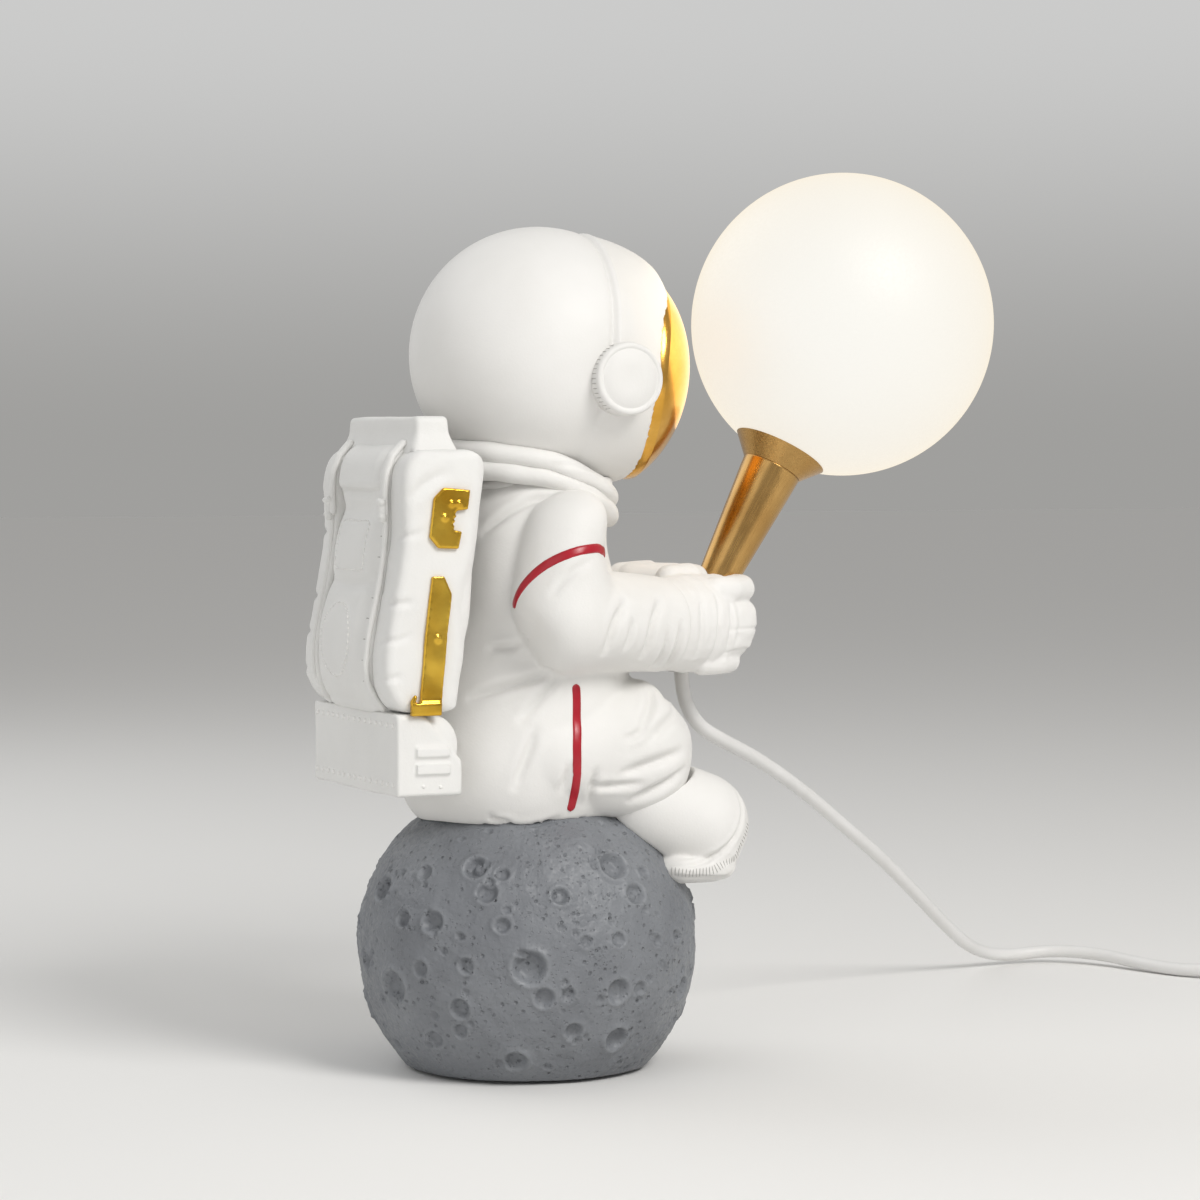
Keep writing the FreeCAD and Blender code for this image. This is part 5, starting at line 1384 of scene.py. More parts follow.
@dataclass
class MoonBall(Assembly):
    """The ball under the figure, with rimmed craters all round."""

    radius: float = 54.0
    middle: float = 40.0
    top_reach: float = 51.4
    low_reach: float = 56.0
    floor: float = 1.2
    fineness: int = 122
    wall_share: float = 0.5
    pit_count: int = 190
    noise_scales: Point = (3.4, 11.0, 42.0)
    # Turn about +Z and rise in degrees, and radius: those seen in the photograph, then those behind
    craters: tuple = (
        (157, -1, 5.5), (136, 33, 4.1), (142, 24, 3.6), (147, 31, 2.5), (168, 23, 3.1), (192, 33, 5.0),
        (198, 22, 3.8), (206, 29, 2.5), (123, 13, 3.9), (114, 30, 2.8), (110, 13, 3.1), (148, 13, 2.8),
        (119, -3, 2.8), (136, -1, 2.8), (106, -10, 5.3), (133, -15, 3.4), (162, -11, 3.4), (170, -10, 2.5),
        (188, -10, 4.1), (197, -10, 2.5), (191, -27, 4.1), (173, -23, 3.1), (152, -34, 3.8), (120, -27, 3.1),
        (132, -23, 2.5), (188, 7, 2.7), (205, 5, 2.2), (216, 5, 2.7), (176, 7, 2.2), (93, 22, 4.4),
        (223, -13, 3.8),
        (250, 12, 4.6), (268, -8, 3.8), (290, 20, 5.1), (315, -5, 4.3), (340, 14, 5.3), (5, -12, 4.1),
        (28, 18, 4.9), (55, -2, 5.4), (75, -20, 3.8), (300, -28, 4.1), (20, -32, 3.8), (240, 32, 2.6),
        (262, 24, 2.4), (278, 4, 2.8), (305, 8, 2.6), (328, -20, 3.0), (352, -2, 2.4), (14, 4, 2.8),
        (42, -14, 2.6), (60, 22, 2.8), (74, 8, 2.4), (88, -4, 3.0), (46, 32, 2.6), (318, 28, 2.8),
        (246, -24, 2.8), (284, -18, 2.4), (350, -26, 2.6), (60, -32, 2.8), (95, -32, 2.4),
    )

    def _directions(self) -> tuple[np.ndarray, list[tuple[int, ...]]]:
        """Spreads even directions over a sphere, from the six sides of a cube.

        Returns:
            The unit directions, and the faces between them.
        """
        count = self.fineness
        steps = np.tan(np.linspace(-math.pi / 4, math.pi / 4, count + 1))
        points, faces = [], []
        axes = (((1, 0, 0), (0, 1, 0), (0, 0, 1)), ((-1, 0, 0), (0, 0, 1), (0, 1, 0)),
                ((0, 1, 0), (0, 0, 1), (1, 0, 0)), ((0, -1, 0), (1, 0, 0), (0, 0, 1)),
                ((0, 0, 1), (1, 0, 0), (0, 1, 0)), ((0, 0, -1), (0, 1, 0), (1, 0, 0)))
        for normal, across, up in axes:
            base = len(points) * (count + 1) ** 2
            grid_a, grid_b = np.meshgrid(steps, steps, indexing="ij")
            side = (
                np.array(normal) + grid_a[..., None] * np.array(across) + grid_b[..., None] * np.array(up)
            ).reshape(-1, 3)
            points.append(side / np.linalg.norm(side, axis=1)[:, None])
            for row in range(count):
                start = base + row * (count + 1)
                for column in range(count):
                    corner = start + column
                    faces.append((corner, corner + count + 1, corner + count + 2, corner + 1))
        return np.vstack(points), faces

    def _relief(self, ways: np.ndarray) -> tuple[np.ndarray, np.ndarray]:
        """Finds the surface's height in each direction, and its painted crater light.

        Args:
            ways: Unit directions from the ball's middle.

        Returns:
            Heights in millimetres, and paleness from 0 to 1: paler rims as painted highlight, darker floors
            as painted shade.
        """
        heights = np.zeros(len(ways))
        pale = np.zeros(len(ways))
        picks = np.random.default_rng(7)
        small = [
            (
                picks.uniform(0, 360), math.degrees(math.asin(picks.uniform(-0.72, 0.78))),
                picks.uniform(0.75, 1.7),
            )
            for _index in range(self.pit_count)
        ]
        for number, (turn, rise, radius) in enumerate([*self.craters, *small]):
            level = math.cos(math.radians(rise))
            centre = np.array([
                level * math.cos(math.radians(turn)), level * math.sin(math.radians(turn)),
                math.sin(math.radians(rise)),
            ])
            away = np.arccos(np.clip(ways @ centre, -1, 1)) * self.radius / radius
            near = away < 2.2
            spot = away[near]
            depth = 0.46 * radius * (1 + 0.05 * math.sin(number * 2.1))
            bowl = -depth * (1 - smooth_step(self.wall_share, 1.02, spot))
            rim = 0.16 * radius * np.exp(-(((spot - 1.06) / 0.16) ** 2))
            skirt = 0.05 * radius * np.exp(-(((spot - 1.2) / 0.4) ** 2))
            keep = 1 - smooth_step(0.85, 1.15, spot)
            heights[near] = heights[near] * (1 - keep) + bowl + rim + skirt
            # Painted highlight on each crater's rim, and painted shade in its floor
            pale[near] = np.maximum(pale[near], 0.8 * np.exp(-(((spot - 1.02) / 0.16) ** 2)))
            pale[near] -= 0.25 * (1 - smooth_step(0.6, 0.95, spot))
        return heights, np.clip(pale, 0, 1)

    def build(self) -> None:
        """Builds the ball and lays it on its pad."""
        ways, faces = self._directions()
        heights, pale = self._relief(ways)
        swells, lumps, grit = (
            np.array([noise.noise(Vector(way) * scale) for way in ways]) for scale in self.noise_scales
        )
        heights = heights + 0.5 * swells + 0.35 * lumps + 0.16 * grit
        reach = np.where(ways[:, 2] > 0, self.top_reach, self.low_reach)
        points = ways * np.column_stack([np.full(len(ways), self.radius)] * 2 + [reach])
        points += ways * heights[:, None]
        low = self.floor - self.middle
        drop = points[:, 2] < low
        shrink = low / np.where(drop, points[:, 2], low)
        points = np.where(drop[:, None], points * shrink[:, None], points)
        points[:, 2] += self.middle
        ball = make_object("moon_relief", points, faces)
        self._attribute(ball, pale, points)
        self.fit(ball, "moon_rock", "stone_grey", ("moon_base",))
        self.finishes.nodes(foot_pad="felt_grey")

    @staticmethod
    def _attribute(ball: bpy.types.Object, pale: np.ndarray, points: np.ndarray) -> None:
        """Stores the paleness, the painted crater light, on the ball's points, whose doubles were merged.

        Args:
            ball: The finished ball.
            pale: Paleness of each first point.
            points: The first points in millimetres.
        """
        table = {tuple(key): value for key, value in zip(np.round(points, 2), pale)}
        values = [
            table.get(tuple(np.round(np.array(vertex.co) / MM, 2)), 0.0) for vertex in ball.data.vertices
        ]
        attribute = ball.data.attributes.new("relief", "FLOAT", "POINT")
        attribute.data.foreach_set("value", np.array(values, np.float32))


# The figure


@dataclass
class Suit(Assembly):
    """The padded suit: body, legs and sleeves under one creased skin, with its painted stripes."""

    voxel: float = 0.9
    softening: int = 8
    stripe_width: float = 2.9
    stripe_proud: float = 0.3
    nodes: tuple = ("torso", "right_leg", "left_leg", "right_sleeve", "left_sleeve")
    leg_stripe: Path = (
        (-36.9, -0.3, 124.1), (-37.4, -0.4, 119.2), (-38.5, 0.0, 111.6), (-40.5, 0.9, 104.1),
        (-39.0, 0.5, 94.7), (-35.5, -0.1, 88.8), (-33.6, 0.1, 84.3),
    )
    arm_stripe: Path = (
        (-33.3, 20.2, 147.9), (-37.5, 19.1, 152.9), (-41.8, 16.3, 157.6), (-45.7, 11.7, 161.9),
        (-48.3, 6.5, 164.7), (-49.5, 1.3, 166.2), (-49.4, -3.2, 166.6), (-47.5, -8.0, 165.8),
        (-44.0, -12.5, 164.6),
    )
    creases: tuple = (
        Crease(((-19.1, 22.7, 171.0), (-22.3, 19.3, 174.6), (-25.4, 14.1, 178.5), (-27.4, 8.5, 181.1),
                (-31.6, 3.9, 182.3)), 1.27, 1.8),
        Crease(((-49.0, 13.0, 152.9), (-49.9, 7.7, 158.7), (-50.4, 0.2, 163.3)), 1.02, 0.9),
        Crease(((-47.8, -12.6, 150.1), (-51.1, -7.2, 143.3), (-48.8, -4.4, 134.4)), 1.27, 2.1),
        Crease(((-48.7, -14.2, 143.6), (-47.0, -12.4, 135.3)), 0.94, 1.2),
        Crease(((-42.1, -27.2, 150.2), (-45.7, -22.8, 142.7), (-42.5, -20.4, 132.5)), 1.19, 1.95),
        Crease(((-43.4, -29.3, 140.1), (-38.8, -28.2, 130.9), (-35.6, -26.4, 128.4)), 1.02, 1.5),
        Crease(((-41.6, -34.8, 142.3), (-38.4, -33.0, 132.0), (-32.1, -32.1, 127.5)), 1.19, 1.8),
        Crease(((-23.7, 23.7, 135.3), (-29.0, 21.5, 135.9), (-34.0, 18.6, 136.3)), 1.02, 1.35),
        Crease(((-21.6, 28.6, 119.9), (-30.4, 19.5, 124.0), (-38.9, 7.8, 128.1)), 1.36, 2.25),
        Crease(((-36.4, 4.3, 126.8), (-35.8, 10.7, 120.4), (-34.3, 17.1, 113.4)), 1.19, 1.65),
        Crease(((-36.6, 13.2, 109.6), (-36.1, 15.8, 102.5), (-33.8, 19.0, 92.7)), 1.27, 1.8),
        Crease(((-40.1, 3.1, 99.2), (-38.8, 3.8, 95.0), (-36.8, 4.4, 91.1)), 1.02, 1.35),
        Crease(((-41.4, -24.0, 106.7), (-39.6, -30.7, 111.6), (-34.4, -37.6, 114.9)), 1.27, 1.8),
        Crease(((-41.0, -15.5, 106.6), (-40.8, -19.0, 108.0), (-40.4, -22.3, 109.9)), 0.94, 1.05),
        Crease(((-30.3, -28.7, 121.6), (-36.0, -26.6, 117.4), (-40.6, -20.8, 109.3)), 1.19, 1.65),
        Crease(((-40.2, -14.5, 95.5), (-41.5, -23.9, 98.8), (-40.2, -35.5, 102.3)), 1.44, 2.4),
        Crease(((-35.7, -19.5, 87.7), (-38.8, -27.4, 91.3), (-38.5, -36.9, 96.1)), 1.36, 2.25),
        Crease(((-38.1, -5.3, 92.1), (-38.6, -13.0, 92.2), (-39.4, -21.2, 92.9)), 1.1, 1.5),
        Crease(((-40.2, -5.8, 97.2), (-38.1, -5.3, 92.1), (-33.6, -6.0, 86.5)), 1.02, 1.65),
        Crease(((-26.7, 23.7, 83.6), (-27.0, 21.1, 82.2), (-32.4, 4.2, 82.6)), 0.85, 1.2),
    )
    middle_creases: tuple = (
        Crease(((-24.0, -31.0, 131.0), (-9.0, -36.5, 128.0), (9.0, -36.5, 128.5),
                (24.0, -31.0, 131.5)), 1.36, 1.8),
        Crease(((-14.0, -34.0, 122.0), (0.0, -37.0, 118.5), (14.0, -34.0, 121.0)), 1.27, 1.65),
        Crease(((-12.0, -30.0, 160.0), (-4.0, -32.0, 151.0)), 1.1, 1.2),
        Crease(((13.0, -30.0, 158.0), (6.0, -32.0, 149.0)), 1.1, 1.2),
        Crease(((0.0, -34.0, 116.0), (0.0, -30.0, 104.0), (0.0, -20.0, 94.0)), 1.27, 1.8),
        Crease(((-20.0, 33.0, 104.0), (0.0, 38.5, 101.0), (20.0, 33.0, 104.0)), 1.36, 1.35),
    )
    pushes: tuple = (
        Nudge((-36.0, -12.0, 167.0), (22.0, 22.0, 13.0), (0.0, 9.2, 0.0)),
        Nudge((-30.0, -40.5, 116.0), (17.0, 7.0, 7.5), (0.0, 1.2, -2.2)),
        Nudge((-11.0, -33.0, 166.0), (17.0, 13.0, 15.0), (0.0, 4.2, 0.0)),
        Nudge((-37.0, 22.0, 136.0), (16.0, 13.0, 11.0), (0.0, -4.5, 1.0)),
        Nudge((-28.0, -46.0, 104.0), (18.0, 12.0, 17.0), (0.0, 2.4, 0.0)),
        Nudge((-32.0, -27.0, 88.0), (14.0, 16.0, 9.0), (0.0, 0.0, -3.0)),
    )
    cuff: Point = (-25.5, -35.0, 141.5)
    cuff_way: Point = (0.283, -0.956, -0.074)
    cuff_flat: float = 0.3
    cuff_lead: float = 2.0
    cuff_reach: float = 24.0

    def _flatten_cuffs(self, skin: Skin) -> None:
        """Presses each sleeve's round end flat, where the glove begins.

        Args:
            skin: The suit's skin.
        """
        for side in Side:
            turn = np.array([-side.value, 1, 1])
            cuff, way = np.array(self.cuff) * turn, np.array(self.cuff_way) * turn
            away = (skin.points - cuff) @ way
            near = np.linalg.norm(skin.points - cuff, axis=1) < self.cuff_reach
            over = np.where(
                near & (away > -self.cuff_lead), (away + self.cuff_lead) * (1 - self.cuff_flat), 0.0,
            )
            skin.points -= over[:, None] * way

    def build(self) -> None:
        """Builds the suit's skin and its stripes."""
        skin = Skin(soft_skin("suit_skin", self.nodes, self.voxel, self.softening))
        self._flatten_cuffs(skin)
        skin.nudge([*self.pushes, *(push.twin() for push in self.pushes)])
        skin.uneven(size=17.0, height=0.45, seed=1)
        skin.press([*self.creases, *(crease.twin() for crease in self.creases), *self.middle_creases])
        host = Skin(self.fit(skin.done(), "suit_resin", "suit_white", self.nodes))
        for side in Side:
            for label, path in (("leg", self.leg_stripe), ("arm", self.arm_stripe)):
                way = path if side is Side.RIGHT else mirrored(path)
                name = f"{side.name.lower()}_{label}_stripe"
                band = ribbon(name, host, way, self.stripe_width, self.stripe_proud)
                self.fit(band, "stripe_paint", "suit_white")


@dataclass
class Collar(Assembly):
    """The two soft rolls round the neck, level behind and drooping in front."""

    radius: float = 26.6
    middle: float = 0.8
    bend_at: float = 3.0
    bend_soft: float = 3.0
    padding_drop: float = 7.0
    padding_tall: float = 6.5
    rear_slope: float = 0.12
    front_slope: float = 0.46
    voxel: float = 0.7
    softening: int = 6
    # Node, height at the bend, how much wider than the upper roll, and the roll's thickness
    rolls: tuple = (
        ("collar_upper_roll", 192.6, 0.0, 3.5), ("collar_lower_roll", 187.2, 0.2, 3.4),
    )
    creases: tuple = (
        Crease(((-26.0, -12.0, 190.0), (-29.0, -4.0, 191.5), (-29.5, 4.0, 192.0)), 0.8, 0.5, 0.1),
        Crease(((-20.0, -21.0, 180.0), (-25.5, -14.0, 182.5), (-28.5, -6.0, 185.0)), 0.8, 0.5, 0.1),
    )

    def _height(self, y: float) -> float:
        """Finds the rise or fall of the rolls at a place along y.

        Args:
            y: The place in millimetres.

        Returns:
            The rise in millimetres.
        """
        ahead = self.bend_at - y
        bend = 0.5 * (ahead + math.sqrt(ahead * ahead + 4 * self.bend_soft ** 2)) - self.bend_soft
        return -self.rear_slope * ahead - (self.front_slope - self.rear_slope) * bend

    def build(self) -> None:
        """Builds both rolls, and the padding inside them."""
        for node, height, wider, thick in self.rolls:
            ring = []
            for degrees in range(0, 361, 5):
                angle = math.radians(degrees)
                y = self.middle + (self.radius + wider) * math.sin(angle)
                ring.append(((self.radius + wider) * math.cos(angle), y, height + self._height(y)))
            wide, low = self.radius - 1.0, height - self.padding_drop
            padding = Lump(((0.0, self.middle - 1.0, low),), (wide, wide, self.padding_tall))
            lumps = (Lump(ring, (thick,) * 3), padding)
            skin = Skin(soft_skin(f"{node}_pad", (), self.voxel, self.softening, lumps))
            skin.uneven(size=9.0, height=0.5, seed=round(height))
            skin.press([*self.creases, *(crease.twin() for crease in self.creases)])
            self.fit(skin.done(), "suit_resin", "suit_white", (node,))


@dataclass
class Gloves(Assembly):
    """The two fists round the stem, each with its thumb and four fingers."""

    voxel: float = 0.55
    softening: int = 5
    palm: tuple = (
        Lump(((-25.6, -36.0, 141.5), (-23.0, -44.0, 141.4)), (13.6, 13.6, 15.2)),
        Lump(((-23.0, -44.0, 141.4), (-19.0, -53.0, 141.2)), (12.8, 12.8, 15.8)),
        Lump(((-19.0, -53.0, 141.2), (-17.0, -58.0, 141.0)), (11.6, 10.8, 15.9)),
        Lump(((-18.0, -42.0, 155.2), (-15.0, -50.0, 155.8)), (4.6, 4.6, 4.6)),
    )
    finger: Path = (
        (-25.0, -54.0, 0.0), (-24.2, -60.0, 0.0), (-20.0, -66.0, 0.0), (-13.0, -69.4, 0.0),
        (-5.2, -71.0, 0.0),
    )
    # Height, radius and set-back of each finger
    fingers: tuple = ((152.0, 4.3, -0.7), (143.8, 4.35, -1.2), (135.5, 4.3, 0.2), (128.7, 3.9, 4.2))
    # Heights of the clefts between the fingers
    clefts: tuple = (148.0, 139.5, 131.4)
    cleft: Path = (
        (-29.5, -55.5, 0.0), (-28.0, -60.5, 0.0), (-23.0, -68.0, 0.0), (-14.0, -73.0, 0.0),
        (-5.0, -75.0, 0.0),
    )
    creases: tuple = (
        Crease(((-36.0, -45.0, 150.0), (-36.8, -44.0, 142.0), (-35.0, -43.5, 131.0)), 1.1, 0.9),
        Crease(((-31.0, -51.5, 149.0), (-32.5, -50.5, 141.0), (-30.0, -50.0, 130.0)), 1.0, 0.9),
        Crease(((-28.5, -57.5, 148.0), (-29.0, -57.0, 141.0), (-28.0, -56.0, 132.0)), 0.9, 0.7),
        Crease(((-36.5, -36.0, 152.0), (-39.4, -35.5, 143.0), (-37.5, -35.0, 131.0)), 0.9, 0.7),
    )

    def build(self) -> None:
        """Builds the gloves."""
        lumps = list(self.palm)
        for height, radius, back in self.fingers:
            lumps.append(Lump([(x, y + back, height) for x, y, _z in self.finger], (radius,) * 3))
        for side in Side:
            name = side.name.lower()
            putty = lumps if side is Side.RIGHT else [lump.twin() for lump in lumps]
            skin = Skin(soft_skin(f"{name}_fist", (f"{name}_glove",), self.voxel, self.softening, putty))
            skin.uneven(size=8.0, height=0.25, seed=6)
            clefts = [
                Crease([(x, y, height) for x, y, _z in self.cleft], 0.6, 0.45, 0.0) for height in self.clefts
            ]
            creases = [*self.creases, *clefts]
            skin.press([crease if side is Side.RIGHT else crease.twin() for crease in creases])
            self.fit(skin.done(), "suit_resin", "glove_white", (f"{name}_glove",))


@dataclass
class Boots(Assembly):
    """The two boots with their welts, ribbed bands and thin soles."""

    voxel: float = 0.65
    softening: int = 12
    putty: tuple = (
        Lump(((-24.0, -40.0, 64.2), (-24.2, -50.5, 64.2)), (14.2, 9.5, 5.6)),
        Lump(((-24.2, -50.0, 65.4), (-24.4, -53.4, 69.0), (-24.4, -55.0, 77.0), (-24.4, -54.0, 82.0)),
             (13.4, 8.0, 6.6)),
    )
    welt: Path = (
        (-36.5, -31.0, 66.2), (-38.0, -39.6, 66.4), (-37.2, -46.6, 67.8), (-35.4, -50.6, 70.4),
        (-33.8, -53.4, 74.4), (-32.0, -56.0, 79.6), (-29.5, -58.0, 86.1),
    )
    lip: Path = (
        (-36.5, -34.0, 61.6), (-37.6, -42.8, 60.6), (-36.0, -51.6, 61.2), (-33.0, -57.2, 64.6),
        (-31.0, -60.0, 69.0), (-29.0, -62.0, 75.0),
    )
    # The ribs are dark strips: painted shade of the band's grooves
    ribs: Pieces = Pieces(spacing=1.15, along=0.3, across=3.1, proud=0.3)

    def build(self) -> None:
        """Builds both boots, with their ribs."""
        for side in Side:
            name = side.name.lower()
            right = side is Side.RIGHT
            welt, lip = (path if right else mirrored(path) for path in (self.welt, self.lip))
            putty = self.putty if right else [lump.twin() for lump in self.putty]
            skin = Skin(soft_skin(f"{name}_boot_skin", (f"{name}_boot",), self.voxel, self.softening, putty))
            skin.uneven(size=12.0, height=0.3, seed=8)
            skin.press([Crease(welt, 0.75, 0.9, 0.4), Crease(lip, 0.65, 0.7, 0.35)])
            replaced = (f"{name}_boot", f"{name}_boot_sole")
            boot = Skin(self.fit(skin.done(), "boot_resin", "boot_white", replaced))
            band = [tuple((np.array(over) + np.array(under)) / 2) for over, under in zip(welt, lip)]
            # Dark rib strips: painted shade of the grooves between the ribs
            self.sew(f"{name}_boot_ribs", boot, [band], self.ribs, "seam_shade", "boot_white")


@dataclass
class Helmet(Assembly):
    """The helmet with its parting groove, gilt visor and ribbed ear caps."""

    centre: Point = (0.0, -3.7, 226.5)
    tilt: float = 7.5
    voxel: float = 0.8
    softening: int = 9
    groove_at: float = 7.7
    groove_width: float = 0.95
    groove_depth: float = 1.35
    groove_end: float = 208.0
    groove_fade: float = 5.0
    groove_inside: float = 36.0
    # How far behind the groove its lip stands, and the lip's width and height
    groove_lip: Point = (2.1, 1.2, 0.3)
    # The rim is drawn back between these places along y, and from the middle to the sides along x
    rim_depth: tuple = (-34.0, -9.0)
    rim_sides: tuple = (6.0, 30.0)
    rim_slope: float = 0.105
    rim_low: float = 185.0
    rim_most: float = 6.6
    pushes: tuple = (
        Nudge((0.0, -47.0, 258.0), (30.0, 11.0, 10.0), (0.0, 3.6, -1.6)),
        Nudge((0.0, -51.0, 250.0), (27.0, 8.0, 8.0), (0.0, 6.2, 1.8)),
    )
    window: tuple = (30.5, 32.3, 2.8)
    dome: tuple = (32.9, 38.0, 20.5)
    dome_depth: float = 0.91
    dome_gap: float = 0.05
    dome_skirt: float = 6.0
    ear_centre: Point = (44.2, -15.8, 218.5)
    ear_radius: float = 11.3
    ear_deep: float = 9.0
    ear_ring: float = 9.3
    # Degrees of the first rib, past the last one, and from rib to rib
    ear_ribs_at: tuple = (118, 244, 9)
    # The ear ribs are dark strips: painted shade of fine grooves in the rim
    ear_ribs: Pieces = Pieces(spacing=1.5, along=0.28, across=3.6, proud=0.25)

    def _turn(self) -> Matrix:
        """Gives the helmet's own frame: its middle and its lean."""
        return Matrix.Translation(Vector(self.centre)) @ Matrix.Rotation(math.radians(self.tilt), 4, "X")

    def build(self) -> None:
        """Builds helmet, visor and ear caps."""
        skin = Skin(soft_skin("helmet_skin", ("helmet_shell", "helmet_hood"), self.voxel, self.softening))
        self._draw_back(skin)
        back = np.array(self._turn().inverted())
        local = skin.points @ back[:3, :3].T + back[:3, 3]
        away = local[:, 1] + self.groove_at
        outside = np.linalg.norm(local, axis=1) > self.groove_inside
        low, high = self.groove_end - self.groove_fade, self.groove_end + self.groove_fade
        shown = np.where(outside, smooth_step(low, high, skin.points[:, 2]), 0.0)
        skin.swell(-self.groove_depth * shown * np.exp(-((away / self.groove_width) ** 2)))
        behind, width, height = self.groove_lip
        skin.swell(height * shown * np.exp(-(((away + behind) / width) ** 2)))
        self.fit(skin.done(), "helmet_resin", "helmet_white", ("helmet_shell", "helmet_hood"))
        self._visor()
        for side in Side:
            self._ear(side)

    def _draw_back(self, skin: Skin) -> None:
        """Draws the hood's sides back from the brow, so that its rim wraps round the visor.

        Args:
            skin: The helmet's skin.
        """
        x, y, z = skin.points.T
        front = 1 - smooth_step(*self.rim_depth, y)
        amount = np.clip(self.rim_slope * (z - self.rim_low), 0.0, self.rim_most)
        skin.points[:, 1] += front * smooth_step(*self.rim_sides, np.abs(x)) * amount
        skin.nudge(self.pushes)

    def _visor(self) -> None:
        """Blows the visor as one smooth dome that fills the hood's window."""
        half_wide, half_tall, drop = self.window
        around, upright, fore = self.dome
        rings, steps = 60, 128
        turn = self._turn()
        points, faces = [turn @ Vector((0, -fore - self.dome_depth * around, -drop))], []
        for ring in range(1, rings + 1):
            share = math.sin(ring / rings * math.pi / 2)
            for step in range(steps):
                angle = 2 * math.pi * step / steps
                x = share * (half_wide - self.dome_gap) * math.cos(angle)
                z = share * (half_tall - self.dome_gap) * math.sin(angle)
                bulge = math.sqrt(max(0.0, 1 - (x / around) ** 2 - (z / upright) ** 2))
                points.append(turn @ Vector((x, -fore - self.dome_depth * around * bulge, z - drop)))
        last = 1 + (rings - 1) * steps
        inward = Vector((0, self.dome_skirt, 0))
        points += [turn @ (turn.inverted() @ point + inward) for point in points[last:last + steps]]
        faces += [(0, 1 + step, 1 + (step + 1) % steps) for step in range(steps)]
        for ring in range(rings):
            for step in range(steps):
                start, after = 1 + ring * steps, (step + 1) % steps
                faces.append((start + step, start + steps + step, start + steps + after, start + after))
        faces.append(tuple(1 + rings * steps + step for step in reversed(range(steps))))
        visor = make_object("gilt_visor_dome", np.array([tuple(point) for point in points]), faces)
        self.fit(visor, "gilt_visor", "gilt_visor", ("visor",))

    def _ear(self, side: Side) -> None:
        """Turns one ear cap and sets the short ribs on its rear rim.

        Args:
            side: The figure's side.
        """
        name = side.name.lower()
        out_x, y, z = self.ear_centre
        axis = Matrix.Rotation(math.radians(90 * side.value), 4, "Y")
        turn = Matrix.Translation(Vector((side.value * out_x, y, z))) @ axis
        radius, ring = self.ear_radius, self.ear_ring
        profile = (
            (0.0, 0.0), (4.0, 0.0), (ring - 0.5, 0.0), (ring - 0.2, -0.3), (ring + 0.15, -0.3),
            (ring + 0.4, 0.0), (radius - 0.9, -0.05), (radius - 0.35, -0.3), (radius, -1.0),
            (radius + 0.1, -3.0), (radius, -self.ear_deep), (0.0, -self.ear_deep),
        )
        disc = lathe(f"{name}_ear_disc", profile, turn)
        cap = Skin(self.fit(disc, "helmet_resin", "helmet_white", (f"{name}_ear_cap",)))
        rim, reach = [], radius + 0.2
        for degrees in range(*self.ear_ribs_at):
            angle = math.radians(degrees)
            rim.append((side.value * (out_x - 3.0), y - reach * math.cos(angle), z + reach * math.sin(angle)))
        # Dark rib strips: painted shade of the rim's fine grooves
        self.sew(f"{name}_ear_ribs", cap, [rim], self.ear_ribs, "seam_shade", "helmet_white")


